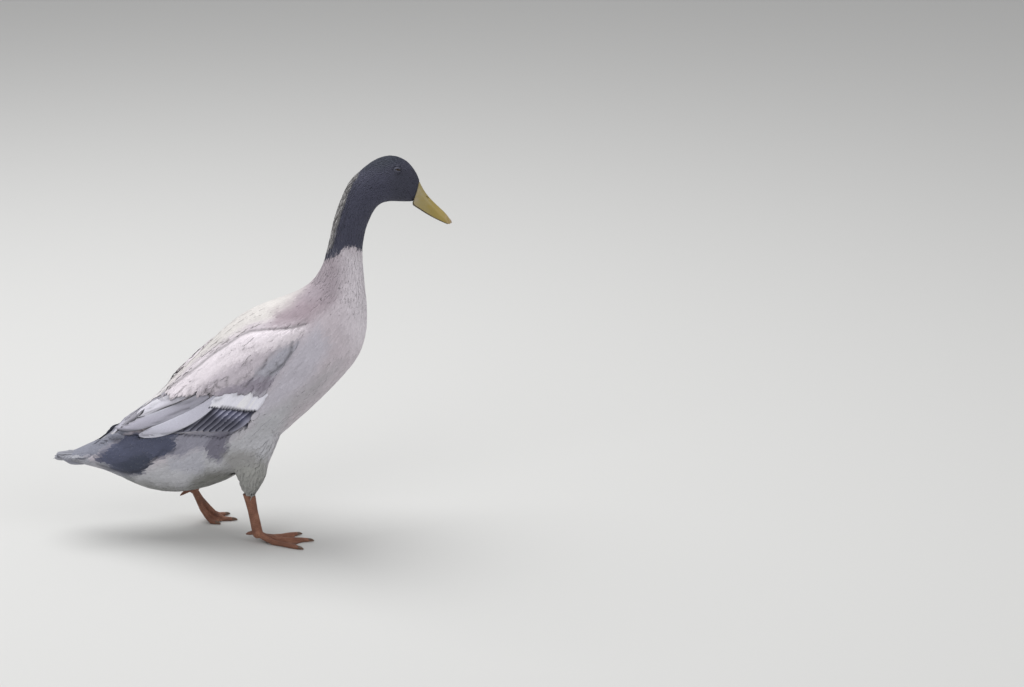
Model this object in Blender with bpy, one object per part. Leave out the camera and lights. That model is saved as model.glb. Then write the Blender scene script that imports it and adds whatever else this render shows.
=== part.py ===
"""An Indian runner drake caught in mid stride, life size, as closed solids in metres.

The head, neck, torso and tail follow one row of stations, each a slice between a point on
the back line and a point on the belly line. Wings, thighs, lids, bill and feet are placed
from those stations. +X is the way it walks, +Y its left side, and the floor is at z = 0.
"""

import math

import bmesh
import bpy
import numpy as np
from mathutils import Matrix, Vector

GAP = 0.0003
FLOOR = 0.0
SEED = 7

# Slices from the bill to the tail: back line x, z, belly line x, z, half width, low fullness.
STATIONS = [
    ("bill_root", 0.1926, 0.4289, 0.1858, 0.4046, 0.0095, 0.00),
    ("brow", 0.1885, 0.4392, 0.1769, 0.4043, 0.0126, 0.05),
    ("eye", 0.1782, 0.4522, 0.1674, 0.4046, 0.0155, 0.10),
    ("crown", 0.1620, 0.4588, 0.1575, 0.4046, 0.0171, 0.12),
    ("hind_crown", 0.1440, 0.4549, 0.1485, 0.4023, 0.0173, 0.10),
    ("nape", 0.1269, 0.4428, 0.1418, 0.3960, 0.0171, 0.05),
    ("upper_neck", 0.1120, 0.4266, 0.1359, 0.3852, 0.0169, 0.00),
    ("neck_arch", 0.1017, 0.4050, 0.1311, 0.3735, 0.0167, 0.00),
    ("mid_neck", 0.0936, 0.3816, 0.1280, 0.3600, 0.0168, 0.00),
    ("lower_neck", 0.0878, 0.3555, 0.1260, 0.3447, 0.0175, 0.00),
    ("neck_foot", 0.0792, 0.3285, 0.1269, 0.3240, 0.0207, 0.00),
    ("crop", 0.0639, 0.3065, 0.1287, 0.2988, 0.0279, 0.00),
    ("shoulder", 0.0432, 0.2943, 0.1305, 0.2727, 0.0369, 0.00),
    ("mantle", 0.0162, 0.2848, 0.1283, 0.2430, 0.0468, 0.00),
    ("breast", -0.0108, 0.2732, 0.1184, 0.2160, 0.0531, 0.02),
    ("wing_bend", -0.0351, 0.2556, 0.0977, 0.1899, 0.0567, 0.04),
    ("back", -0.0576, 0.2340, 0.0711, 0.1620, 0.0585, 0.05),
    ("loin", -0.0792, 0.2124, 0.0418, 0.1350, 0.0594, 0.06),
    ("thigh", -0.0999, 0.1917, 0.0108, 0.1035, 0.0585, 0.08),
    ("hip", -0.1197, 0.1719, -0.0225, 0.0747, 0.0558, 0.10),
    ("abdomen", -0.1368, 0.1557, -0.0594, 0.0585, 0.0504, 0.12),
    ("vent", -0.1530, 0.1422, -0.0954, 0.0513, 0.0423, 0.12),
    ("rump", -0.1674, 0.1305, -0.1278, 0.0549, 0.0342, 0.08),
    ("tail_root", -0.1818, 0.1206, -0.1548, 0.0657, 0.0279, 0.00),
    ("tail_mid", -0.1962, 0.1125, -0.1782, 0.0765, 0.0243, 0.00),
    ("tail_end", -0.2124, 0.1049, -0.2034, 0.0864, 0.0216, 0.00),
    ("tail_tip", -0.2376, 0.0963, -0.2358, 0.0927, 0.0180, 0.00),
]
TABLE = np.array([row[1:] for row in STATIONS])

# The head, the neck and the torso each end at this s, where a slice parts them from the next one.
HEAD_ENDS = 5.6
NECK_ENDS = 10.6
TORSO_ENDS = 23.0
HEAD_ROWS = 15
NECK_ROWS = 11
TORSO_ROWS = 25
HEAD_SIDES = 22
TORSO_SIDES = 26
HALVINGS = 40
PROBE = 0.001

# Edges that turn by more than this many degrees stay sharp in the shading.
BODY_SHARP = 50.0
BILL_SHARP = 40.0
VANE_SHARP = 30.0

# Where a side view meets the body edge on, a piece laid on it eases up to this share of the half height.
EDGE_ON_FROM = 0.86
EDGE_ON_TO = 0.965


def clear_scene():
    for obj in list(bpy.data.objects):
        bpy.data.objects.remove(obj, do_unlink=True)


def material(name, colour, roughness, metallic=0.0):
    made = bpy.data.materials.new(name)
    made.use_nodes = True
    shader = made.node_tree.nodes["Principled BSDF"]
    shader.inputs["Base Color"].default_value = (*colour, 1.0)
    shader.inputs["Roughness"].default_value = roughness
    shader.inputs["Metallic"].default_value = metallic
    return made


def station(s):
    """The slice at s, read from a smooth curve through the rows of the table."""
    s = min(max(s, 0.0), len(TABLE) - 1.0)
    i = min(int(s), len(TABLE) - 2)
    t = s - i
    before, start, end, after = (TABLE[min(max(i + k, 0), len(TABLE) - 1)] for k in (-1, 0, 1, 2))
    return 0.5 * (
        2 * start
        + (end - before) * t
        + (2 * before - 5 * start + 4 * end - after) * t**2
        + (3 * start - before - 3 * end + after) * t**3
    )


def section(s):
    """Centre, way up to the back line, way on towards the tail, half height, half width, fullness."""
    back_x, back_z, belly_x, belly_z, half_width, fullness = station(s)
    back = np.array([back_x, 0.0, back_z])
    belly = np.array([belly_x, 0.0, belly_z])
    half_height = np.linalg.norm(back - belly) / 2
    up = (back - belly) / (2 * half_height)
    along = np.array([-up[2], 0.0, up[0]])
    return (back + belly) / 2, up, along, half_height, half_width, fullness


def body_point(s, angle, height=0.0):
    """A point of the body's surface, angle 0 on the back line and positive to the left, raised by height."""
    centre, up, _, half_height, half_width, fullness = section(s)
    width = half_width * (1 - fullness * math.cos(angle))
    left = np.array([0.0, 1.0, 0.0])
    normal = up * math.cos(angle) * half_width + left * math.sin(angle) * half_height
    normal /= np.linalg.norm(normal)
    return centre + up * half_height * math.cos(angle) + left * width * math.sin(angle) + normal * height


def station_of(point, first=HEAD_ENDS, last=len(TABLE) - 1.0):
    """The s whose slice holds this point, found by halving."""
    for _ in range(HALVINGS):
        middle = (first + last) / 2
        centre, _, along, _, _, _ = section(middle)
        if np.dot(point - centre, along) > 0:
            first = middle
        else:
            last = middle
    return (first + last) / 2


def on_side(x, z, side, height=0.0):
    """The point of the body's surface that a side view shows at x, z, on side -1 (right) or 1 (left)."""
    point = np.array([x, 0.0, z])
    s = station_of(point, NECK_ENDS)
    centre, up, _, half_height, _, _ = section(s)
    share = np.dot(point - centre, up) / half_height
    over = abs(share) - EDGE_ON_FROM
    if over > 0:
        room = EDGE_ON_TO - EDGE_ON_FROM
        share = math.copysign(EDGE_ON_FROM + room * (1 - math.exp(-over / room)), share)
    return body_point(s, side * math.acos(share), height)


def add_object(name, bm, finish, sharp=BODY_SHARP):
    bmesh.ops.recalc_face_normals(bm, faces=bm.faces)
    mesh = bpy.data.meshes.new(name)
    bm.to_mesh(mesh)
    bm.free()
    mesh.shade_smooth()
    mesh.set_sharp_from_angle(angle=math.radians(sharp))
    obj = bpy.data.objects.new(name, mesh)
    obj.data.materials.append(finish)
    bpy.context.scene.collection.objects.link(obj)
    return obj


def rings_mesh(rings):
    """A bmesh closed round a row of rings of equal count, with flat caps."""
    bm = bmesh.new()
    made = [[bm.verts.new(point) for point in ring] for ring in rings]
    for ring, following in zip(made, made[1:]):
        count = len(ring)
        for i in range(count):
            j = (i + 1) % count
            bm.faces.new((ring[i], ring[j], following[j], following[i]))
    bm.faces.new(made[0])
    bm.faces.new(made[-1])
    return bm


def body_rings(first, last, rows, sides, shift_first=0.0):
    """Rings of the body from s = first to last, the first of them moved on by shift_first."""
    angles = [2 * math.pi * k / sides for k in range(sides)]
    rings = []
    for s in np.linspace(first, last, rows):
        rings.append([body_point(s, angle) for angle in angles])
    along = section(first)[2]
    rings[0] = [point + along * shift_first for point in rings[0]]
    return rings


def tube_rings(points, radii, sides, across=(0.0, 1.0, 0.0)):
    """Rings round a path. Each radius is a pair: the first along across, the second square to it."""
    points = [np.array(p, float) for p in points]
    across = np.array(across, float)
    rings = []
    for i, point in enumerate(points):
        ahead = points[min(i + 1, len(points) - 1)] - points[max(i - 1, 0)]
        ahead /= np.linalg.norm(ahead)
        first = across - ahead * np.dot(across, ahead)
        first /= np.linalg.norm(first)
        second = np.cross(ahead, first)
        wide, deep = radii[i]
        rings.append(
            [
                point + first * wide * math.cos(a) + second * deep * math.sin(a)
                for a in (2 * math.pi * k / sides for k in range(sides))
            ]
        )
    return rings


def applied(obj):
    """Replaces the object's mesh by what its modifiers make of it."""
    bpy.context.view_layer.update()
    graph = bpy.context.evaluated_depsgraph_get()
    mesh = bpy.data.meshes.new_from_object(obj.evaluated_get(graph))
    obj.modifiers.clear()
    obj.data = mesh
    return obj


def keep_largest(obj):
    """Keeps the closed surface that spans the largest box, and drops scraps and sealed hollows."""
    bm = bmesh.new()
    bm.from_mesh(obj.data)
    groups = []
    seen = set()
    for start in bm.verts:
        if start in seen:
            continue
        seen.add(start)
        group = [start]
        for vert in group:
            for edge in vert.link_edges:
                other = edge.other_vert(vert)
                if other not in seen:
                    seen.add(other)
                    group.append(other)
        groups.append(group)

    def spread(group):
        at = np.array([vert.co for vert in group])
        return float(np.prod(at.max(axis=0) - at.min(axis=0)))

    largest = max(groups, key=spread)
    loose = [vert for group in groups if group is not largest for vert in group]
    bmesh.ops.delete(bm, geom=loose, context="VERTS")
    bm.to_mesh(obj.data)
    bm.free()
    return obj


def carve(obj, cutter):
    """Takes the cutter's shape out of the object, and the cutter out of the scene."""
    cut = obj.modifiers.new("carve", "BOOLEAN")
    cut.operation = "DIFFERENCE"
    cut.solver = "EXACT"
    cut.object = cutter
    applied(obj)
    bpy.data.objects.remove(cutter, do_unlink=True)
    return keep_largest(obj)


def fuse(obj, pieces):
    """Joins closed pieces to the object they grow from, by one union on a collection."""
    group = bpy.data.collections.new(obj.name + "_pieces")
    bpy.context.scene.collection.children.link(group)
    for piece in pieces:
        bpy.context.scene.collection.objects.unlink(piece)
        group.objects.link(piece)
    join = obj.modifiers.new("fuse", "BOOLEAN")
    join.operation = "UNION"
    join.operand_type = "COLLECTION"
    join.solver = "EXACT"
    join.collection = group
    applied(obj)
    for piece in list(group.objects):
        bpy.data.objects.remove(piece, do_unlink=True)
    bpy.data.collections.remove(group)
    return keep_largest(obj)


def swollen(obj, by):
    """A copy of the object with each vertex moved out along its normal, to cut its neighbours clear."""
    copy = bpy.data.objects.new(obj.name + "_swollen", obj.data.copy())
    bpy.context.scene.collection.objects.link(copy)
    bm = bmesh.new()
    bm.from_mesh(copy.data)
    bm.normal_update()
    moves = [vert.normal * by for vert in bm.verts]
    for vert, move in zip(bm.verts, moves):
        vert.co += move
    bm.to_mesh(copy.data)
    bm.free()
    return copy


def floor_cut(obj):
    """Cuts the object flat at the floor."""
    bm = bmesh.new()
    bm.from_mesh(obj.data)
    geometry = list(bm.verts) + list(bm.edges) + list(bm.faces)
    cut = bmesh.ops.bisect_plane(
        bm, geom=geometry, plane_co=(0, 0, FLOOR), plane_no=(0, 0, -1), clear_outer=True
    )
    edges = [e for e in cut["geom_cut"] if isinstance(e, bmesh.types.BMEdge)]
    bmesh.ops.holes_fill(bm, edges=edges, sides=0)
    bmesh.ops.recalc_face_normals(bm, faces=bm.faces)
    bm.to_mesh(obj.data)
    bm.free()
    return obj


# Head: a closed loft with a round socket, a ring of lid and a short groove of the gape on each side

EYE_X = 0.1680
EYE_Z = 0.4445
EYE_RADIUS = 0.0045
EYE_SUNK = 0.0031
LID_RADIUS = 0.0044
LID_THICKNESS = 0.0010
LID_RAISED = 0.0002
LID_STRETCH = 1.18
LID_LEVEL = (1.0, 0.0, -0.25)
GAPE_X = 0.1831
GAPE_Z = 0.4082
GAPE_LENGTH = 0.0045
GAPE_SHAPE = (1.0, 0.22, 0.14)
GAPE_PITCH = math.radians(18.0)


def head_side(x, z, side):
    """The point of the head's surface that a side view shows at x, z, and the way out there."""
    point = np.array([x, 0.0, z])
    s = station_of(point, 0.0, HEAD_ENDS)
    centre, up, _, half_height, _, _ = section(s)
    share = np.dot(point - centre, up) / half_height
    angle = side * math.acos(min(max(share, -1.0), 1.0))
    at = body_point(s, angle)
    outward = body_point(s, angle, PROBE) - at
    return at, outward / np.linalg.norm(outward)


def eye_centre(side):
    at, outward = head_side(EYE_X, EYE_Z, side)
    return at - outward * EYE_SUNK, outward


def ball(name, centre, radius, finish, segments=12, rings=7, stretch=(1.0, 1.0, 1.0), pitch=0.0):
    bm = bmesh.new()
    bmesh.ops.create_uvsphere(bm, u_segments=segments, v_segments=rings, radius=radius)
    bmesh.ops.scale(bm, verts=bm.verts, vec=Vector(stretch))
    bmesh.ops.rotate(bm, verts=bm.verts, matrix=Matrix.Rotation(pitch, 3, "Y"))
    bmesh.ops.translate(bm, verts=bm.verts, vec=Vector(centre))
    return add_object(name, bm, finish)


def lid_ring(name, centre, axis, finish, turns=14, sides=5):
    """An oval ring of round section about an axis, for the lids round an eye."""
    axis = Vector(axis).normalized()
    level = Vector(LID_LEVEL)
    level = (level - axis * level.dot(axis)).normalized()
    upright = axis.cross(level)
    bm = bmesh.new()
    loops = []
    for k in range(turns):
        a = 2 * math.pi * k / turns
        way = level * math.cos(a) * LID_STRETCH + upright * math.sin(a)
        middle = Vector(centre) + way * LID_RADIUS
        out = way.normalized()
        loop = []
        for j in range(sides):
            b = 2 * math.pi * j / sides
            loop.append(bm.verts.new(middle + (out * math.cos(b) + axis * math.sin(b)) * LID_THICKNESS))
        loops.append(loop)
    for k in range(turns):
        here, there = loops[k], loops[(k + 1) % turns]
        for j in range(sides):
            i = (j + 1) % sides
            bm.faces.new((here[j], here[i], there[i], there[j]))
    return add_object(name, bm, finish)


def build_head(finish):
    head = add_object("head", rings_mesh(body_rings(0.0, HEAD_ENDS, HEAD_ROWS, HEAD_SIDES)), finish)
    lids = []
    for side in (-1, 1):
        at, outward = head_side(EYE_X, EYE_Z, side)
        lids.append(lid_ring("lid", at + outward * LID_RAISED, outward, finish))
    fuse(head, lids)
    for side in (-1, 1):
        centre, _ = eye_centre(side)
        carve(head, ball("socket", centre, EYE_RADIUS + GAP, finish))
        corner, _ = head_side(GAPE_X, GAPE_Z, side)
        carve(head, ball("gape", corner, GAPE_LENGTH, finish, 10, 6, GAPE_SHAPE, GAPE_PITCH))
    return head


def build_eyes(finish):
    for side, name in ((-1, "eye_right"), (1, "eye_left")):
        centre, _ = eye_centre(side)
        ball(name, centre, EYE_RADIUS, finish)


# Bill

# Slices from the root to the nail: upper line x, z, mouth line x, z, half width
BILL_SLICES = [
    (0.1926, 0.4289, 0.1858, 0.4046, 0.0092),
    (0.1966, 0.4186, 0.1912, 0.3998, 0.0087),
    (0.2014, 0.4110, 0.1966, 0.3956, 0.0083),
    (0.2074, 0.4046, 0.2035, 0.3910, 0.0084),
    (0.2140, 0.3976, 0.2108, 0.3871, 0.0091),
    (0.2205, 0.3915, 0.2180, 0.3838, 0.0095),
    (0.2252, 0.3852, 0.2236, 0.3808, 0.0081),
    (0.2280, 0.3800, 0.2270, 0.3782, 0.0045),
]
BILL_SIDES = 12
BILL_ARCH = 0.8
MANDIBLE_DEPTH = 0.0036
MANDIBLE_TAPER = 0.09
MANDIBLE_ARCH = 0.6
MANDIBLE_INSET = 0.0009
MOUTH_GAP = GAP * 1.2
NOSTRIL_AT = 0.30
NOSTRIL_HEIGHT = 0.66
NOSTRIL_OUT = 0.70
NOSTRIL_LENGTH = 0.0031
NOSTRIL_SHAPE = (1.0, 0.42, 0.40)
BILL_PITCH = math.radians(45.0)


def bill_slice(t):
    rows = np.array(BILL_SLICES)
    at = t * (len(rows) - 1)
    return np.array([np.interp(at, range(len(rows)), rows[:, k]) for k in range(rows.shape[1])])


def bill_clearance():
    """The small move forwards, square to the head's front face, that keeps the bill clear of it."""
    return -section(0.0)[2] * GAP


def build_bill_upper(finish):
    ahead = bill_clearance()
    rings = []
    for top_x, top_z, low_x, low_z, half in BILL_SLICES:
        top = np.array([top_x, 0.0, top_z])
        low = np.array([low_x, 0.0, low_z])
        ring = []
        for k in range(BILL_SIDES + 1):
            a = math.pi * k / BILL_SIDES
            lift = math.sin(a) ** BILL_ARCH
            ring.append(low + (top - low) * lift + np.array([0, half * math.cos(a), 0]) + ahead)
        rings.append(ring)
    bill = add_object("bill_upper", rings_mesh(rings), finish, BILL_SHARP)
    top_x, top_z, low_x, low_z, half = bill_slice(NOSTRIL_AT)
    low = np.array([low_x, 0.0, low_z])
    place = low + (np.array([top_x, 0.0, top_z]) - low) * NOSTRIL_HEIGHT
    for side in (-1, 1):
        centre = place + np.array([0.0, side * half * NOSTRIL_OUT, 0.0])
        carve(bill, ball("nostril", centre, NOSTRIL_LENGTH, finish, 10, 6, NOSTRIL_SHAPE, BILL_PITCH))
    return bill


def build_bill_lower(finish):
    ahead = bill_clearance()
    rings = []
    for k, (top_x, top_z, low_x, low_z, half) in enumerate(BILL_SLICES[:-1]):
        top = np.array([top_x, 0.0, top_z])
        low = np.array([low_x, 0.0, low_z])
        down = (low - top) / np.linalg.norm(low - top)
        depth = MANDIBLE_DEPTH * (1 - MANDIBLE_TAPER * k)
        ring = []
        for j in range(BILL_SIDES + 1):
            a = math.pi * j / BILL_SIDES
            drop = MOUTH_GAP + depth * math.sin(a) ** MANDIBLE_ARCH
            ring.append(low + down * drop + np.array([0, (half - MANDIBLE_INSET) * math.cos(a), 0]) + ahead)
        rings.append(ring)
    return add_object("bill_lower", rings_mesh(rings), finish, BILL_SHARP)


# Feather vanes

# Along a vane: share of its length, of its half width, and thickness
LONG_VANE = [
    (0.00, 0.50, 0.0007),
    (0.30, 0.85, 0.0006),
    (0.62, 1.00, 0.0006),
    (0.88, 0.78, 0.0005),
    (1.00, 0.20, 0.0004),
]
SHORT_VANE = [
    (0.00, 0.55, 0.0007),
    (0.42, 1.00, 0.0006),
    (0.82, 0.85, 0.0005),
    (1.00, 0.25, 0.0004),
]
VANE_RIDGE = 0.00015
ROOT_SUNK = 0.0018
RISE_FROM = 0.08
RISE_OVER = 0.62


def vane(name, spot, profile, half_width, rise, roll, finish):
    """A closed tapered plate from root to tip over a surface.

    spot(t, off, height) gives the point at t along it, off metres to its upper edge and height above the
    surface. rise is the height at the tip; roll lifts the lower edge over the next vane's upper edge.
    """
    bm = bmesh.new()
    rows = []
    for t, share, thick in profile:
        climb = min(max((t - RISE_FROM) / RISE_OVER, 0.0), 1.0)
        height = -ROOT_SUNK + (rise + ROOT_SUNK) * climb * climb * (3 - 2 * climb)
        wide = half_width * share
        places = (
            spot(t, wide, height - roll * share),
            spot(t, 0.0, height + VANE_RIDGE),
            spot(t, -wide, height + roll * share),
        )
        out = spot(t, 0.0, height + PROBE) - spot(t, 0.0, height)
        out /= np.linalg.norm(out)
        rows.append([bm.verts.new(p + out * thick) for p in places] + [bm.verts.new(p) for p in places])
    for a, b in zip(rows, rows[1:]):
        for k in (0, 1):
            bm.faces.new((a[k], a[k + 1], b[k + 1]))
            bm.faces.new((a[k], b[k + 1], b[k]))
            bm.faces.new((a[k + 3], b[k + 4], a[k + 4]))
            bm.faces.new((a[k + 3], b[k + 3], b[k + 4]))
        for upper, lower in ((0, 3), (2, 5)):
            bm.faces.new((a[upper], b[upper], b[lower], a[lower]))
    for row in (rows[0], rows[-1]):
        bm.faces.new((row[0], row[1], row[4], row[3]))
        bm.faces.new((row[1], row[2], row[5], row[4]))
    return add_object(name, bm, finish, VANE_SHARP)


# Wings: a thin core from the bend backwards, and tiers of vanes from it

WING_UPPER = [
    (0.0540, 0.2727),
    (0.0198, 0.2736),
    (-0.0288, 0.2529),
    (-0.0738, 0.2124),
    (-0.1152, 0.1719),
    (-0.1530, 0.1404),
    (-0.1908, 0.1170),
]
WING_LOWER = [
    (0.0468, 0.2448),
    (0.0126, 0.2025),
    (-0.0108, 0.1710),
    (-0.0468, 0.1476),
    (-0.0918, 0.1368),
    (-0.1395, 0.1296),
    (-0.1854, 0.1134),
]
WING_THICK = [0.0054, 0.0086, 0.0081, 0.0067, 0.0054, 0.0043, 0.0032]
WING_SUNK = 0.0036
CORE_REACH = 0.80
CORE_EDGE = 0.22
CORE_ARCH = 0.6
CORE_END = 0.35
TIP_VARIES = 0.010

# Tiers: name, profile, count, first and last root u, v, first and last tip u, v, rise at the tip
WING_TIERS = [
    ("lesser_covert", SHORT_VANE, 5, (0.05, 0.22), (0.06, 0.84), (0.27, 0.22), (0.27, 0.92), 0.0016),
    ("greater_covert", SHORT_VANE, 6, (0.22, 0.24), (0.24, 0.90), (0.46, 0.32), (0.42, 1.01), 0.0016),
    ("secondary", LONG_VANE, 6, (0.40, 0.72), (0.34, 0.96), (0.80, 0.88), (0.56, 1.03), 0.0009),
    ("primary", LONG_VANE, 4, (0.66, 0.26), (0.66, 0.70), (1.02, 0.22), (0.93, 0.88), 0.0009),
    ("tertial", LONG_VANE, 4, (0.42, 0.30), (0.42, 0.66), (0.95, 0.16), (0.80, 0.84), 0.0027),
    ("scapular", LONG_VANE, 4, (0.18, 0.06), (0.20, 0.38), (0.66, 0.03), (0.57, 0.40), 0.0034),
]
WING_ROLL = 0.00055
PITCH_SHARE = 0.62


def chain(points, t):
    """A point at t, from 0 to 1, on a smooth curve through the points."""
    rows = np.array(points, float)
    if rows.ndim == 1:
        rows = rows[:, None]
    at = t * (len(rows) - 1)
    i = min(max(int(at), 0), len(rows) - 2)
    f = at - i
    before, start, end, after = (rows[min(max(i + k, 0), len(rows) - 1)] for k in (-1, 0, 1, 2))
    return 0.5 * (
        2 * start
        + (end - before) * f
        + (2 * before - 5 * start + 4 * end - after) * f**2
        + (3 * start - before - 3 * end + after) * f**3
    )


def core_height(u, v):
    """How far the wing's core stands over the body at u, v."""
    inside = min(max(v, 0.0), 1.0)
    arch = CORE_EDGE + (1 - CORE_EDGE) * math.sin(math.pi * inside) ** CORE_ARCH
    return chain(WING_THICK, min(u, 1.0))[0] * arch


def wing_spot(u, v, side, height):
    """A point of the wing, u from the bend to the tip, v from the back to the lower edge."""
    x, z = chain(WING_UPPER, u) * (1 - v) + chain(WING_LOWER, u) * v
    return on_side(x, z, side, height)


def wing_depth(u):
    return np.linalg.norm(chain(WING_UPPER, u) - chain(WING_LOWER, u))


def wing_core(name, side, finish, columns=11, rows=8):
    rings = []
    for u in np.linspace(0.0, CORE_REACH, columns):
        flat = CORE_END if u in (0.0, CORE_REACH) else 1.0
        outer = []
        inner = []
        for v in np.linspace(0.0, 1.0, rows):
            outer.append(wing_spot(u, v, side, core_height(u, v) * flat))
            inner.append(wing_spot(u, v, side, -WING_SUNK))
        rings.append(outer + inner[::-1])
    return add_object(name, rings_mesh(rings), finish)


def wing_vane(name, profile, side, root, tip, half_width, rise, finish):
    def spot(t, off, height):
        u = root[0] + (tip[0] - root[0]) * t
        v = root[1] + (tip[1] - root[1]) * t - off / wing_depth(u)
        return wing_spot(u, v, side, core_height(u, v) + height)

    return vane(name, spot, profile, half_width, rise, WING_ROLL, finish)


def build_wing(name, side, neighbours, finish, rng):
    wing = wing_core(name, side, finish)
    vanes = []
    for tier, profile, count, root_a, root_b, tip_a, tip_b, rise in WING_TIERS:
        middle = (root_a[0] + tip_a[0]) / 2
        spread = (root_b[1] - root_a[1] + tip_b[1] - tip_a[1]) / 2
        half_width = PITCH_SHARE * spread * wing_depth(middle) / (count - 1)
        for k in range(count):
            share = k / (count - 1)
            root = np.array(root_a) * (1 - share) + np.array(root_b) * share
            tip = np.array(tip_a) * (1 - share) + np.array(tip_b) * share
            tip = tip + (rng.uniform(-TIP_VARIES, TIP_VARIES), 0.0)
            vanes.append(wing_vane(f"{tier}_{k}", profile, side, root, tip, half_width, rise, finish))
    fuse(wing, vanes)
    for neighbour in neighbours:
        carve(wing, swollen(neighbour, GAP))
    return wing


# Tail: a short core, the tail feathers as a fan of vanes, and coverts over and under their roots

TAIL_CORE_ENDS = 24.6
TAIL_ROWS = 5
TAIL_SIDES = 20
RECTRICES = 5
RECTRIX_HALF_WIDTH = 0.0070
RECTRIX_STEP = 0.00085
FAN_ROOT = (-0.1854, 0.0126, 0.1013)
FAN_TIP = (-0.2376, 0.0225, 0.0977)
FAN_ROUNDING = 0.0117

COVERT_VARIES = 0.12
# Coverts: count, half spread and middle angle in degrees, first s, last s, half width, rise
TAIL_COVERTS = [
    ("upper_covert", 5, 62.0, 0.0, 23.12, 24.7, 0.0062, 0.0011),
    ("long_upper_covert", 4, 48.0, 0.0, 23.7, 25.3, 0.0062, 0.0004),
    ("under_covert", 5, 62.0, 180.0, 23.12, 25.2, 0.0066, 0.0006),
]


def rectrix(side, rank, finish):
    """A tail feather, rank 0 next to the middle. The middle left one lies on top, each later rank lower."""
    place = side * (rank + 0.5) / RECTRICES
    depth = RECTRIX_STEP * (rank + 1 if side < 0 or rank > 0 else 0)
    root = np.array([FAN_ROOT[0], FAN_ROOT[1] * place, FAN_ROOT[2] - depth])
    tip = np.array([FAN_TIP[0] + FAN_ROUNDING * place**2, FAN_TIP[1] * place, FAN_TIP[2] - depth])

    def spot(t, off, height):
        return root + (tip - root) * t + np.array([0.0, -off * side, height])

    name = f"rectrix_{'left' if side > 0 else 'right'}_{rank}"
    return vane(name, spot, LONG_VANE, RECTRIX_HALF_WIDTH, -ROOT_SUNK, 0.0, finish)


def covert(name, angle, first, last, half_width, rise, finish):
    side = 1.0 if math.sin(angle) >= 0 else -1.0

    def spot(t, off, height):
        s = first + (last - first) * t
        _, _, _, half_height, width, _ = section(s)
        turn = side * off / max(half_height, width)
        return body_point(s, angle - turn, height)

    return vane(name, spot, SHORT_VANE, half_width, rise, WING_ROLL, finish)


def build_tail_core(finish):
    rings = body_rings(TORSO_ENDS, TAIL_CORE_ENDS, TAIL_ROWS, TAIL_SIDES, GAP)
    return add_object("tail", rings_mesh(rings), finish)


def build_tail_vanes(tail, finish, rng):
    vanes = [rectrix(side, rank, finish) for side in (-1, 1) for rank in range(RECTRICES)]
    for name, count, spread, middle, first, last, half_width, rise in TAIL_COVERTS:
        for k in range(count):
            angle = math.radians(middle + spread * ((k + 0.5) / count * 2 - 1))
            end = last + rng.uniform(-COVERT_VARIES, COVERT_VARIES)
            vanes.append(covert(f"{name}_{k}", angle, first, end, half_width, rise, finish))
    return fuse(tail, vanes)


# Legs: feathered thighs, bare shanks, and feet with three webbed toes, a hind toe and claws

# Each radius is a pair: half the width from side to side, then half the depth from front to back.
SHANK_RADII = [(0.0052, 0.0081), (0.0043, 0.0067), (0.0040, 0.0059), (0.0041, 0.0061), (0.0049, 0.0063)]
THIGH_SIDES = 18
SHANK_SIDES = 12
NEAR_LEG = {
    "thigh": [
        (-0.0054, 0.0234, 0.1260),
        (-0.0045, 0.0288, 0.1062),
        (-0.0054, 0.0342, 0.0855),
        (-0.0090, 0.0351, 0.0702),
        (-0.0108, 0.0342, 0.0594),
    ],
    "thigh_radii": [
        (0.0234, 0.0360),
        (0.0225, 0.0306),
        (0.0162, 0.0225),
        (0.0103, 0.0135),
        (0.0063, 0.0086),
    ],
    "hock": (-0.0108, 0.0342, 0.0666),
    "ankle": (-0.0009, 0.0342, 0.0108),
    "lift": 0.0,
}
FAR_LEG = {
    "thigh": [
        (-0.0360, 0.0270, 0.1215),
        (-0.0414, 0.0324, 0.1008),
        (-0.0486, 0.0360, 0.0855),
        (-0.0558, 0.0360, 0.0720),
        (-0.0594, 0.0351, 0.0630),
    ],
    "thigh_radii": [
        (0.0234, 0.0324),
        (0.0216, 0.0270),
        (0.0162, 0.0198),
        (0.0108, 0.0131),
        (0.0067, 0.0086),
    ],
    "hock": (-0.0612, 0.0351, 0.0720),
    "ankle": (-0.0828, 0.0342, 0.0414),
    "lift": 1.0,
}
# A lift of 0 is a foot flat on the floor, and 1 one that leans on its toe tips.
# Toes: name, length, angle to the outside in degrees
TOES = [("inner", 0.0486, -24.0), ("middle", 0.0594, 0.0), ("outer", 0.0550, 26.0)]
TOE_STEPS = 6
TOE_SIDES = 7
TOE_RADIUS = 0.0037
TOE_TAPER = 0.30
TOE_PRESS = 0.85
KNUCKLE = 0.08
SETTLES_AT = 0.40
LIFT_DELAY = 0.42
FALL_BEND = 1.6
CLAW_LENGTH = 0.0067
CLAW_SET = 0.003
CLAW_DROP = 0.0011
CLAW_SIDES = 6
CLAW_RADII = [(0.0022, 0.0024), (0.0015, 0.0018), (0.0004, 0.0005)]
ANKLE_RADIUS = 0.0063
WEB_THICKNESS = 0.0014
WEB_SUNK = 0.0012
WEB_FROM = 0.10
WEB_REACH = 0.86
WEB_HOLLOW = 0.13
HIND_STEP = (-0.0058, -0.0040, -0.0005)
HIND_AT = (0.4, 1.2, 2.0, 2.6)
HIND_DROOP = 0.0006
HIND_RADII = [(0.0030, 0.0030), (0.0025, 0.0027), (0.0020, 0.0020), (0.0007, 0.0007)]


def tube(name, points, radii, sides, finish):
    return add_object(name, rings_mesh(tube_rings(points, radii, sides)), finish)


def toe_radius(t):
    return TOE_RADIUS * (1 - TOE_TAPER * t)


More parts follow.
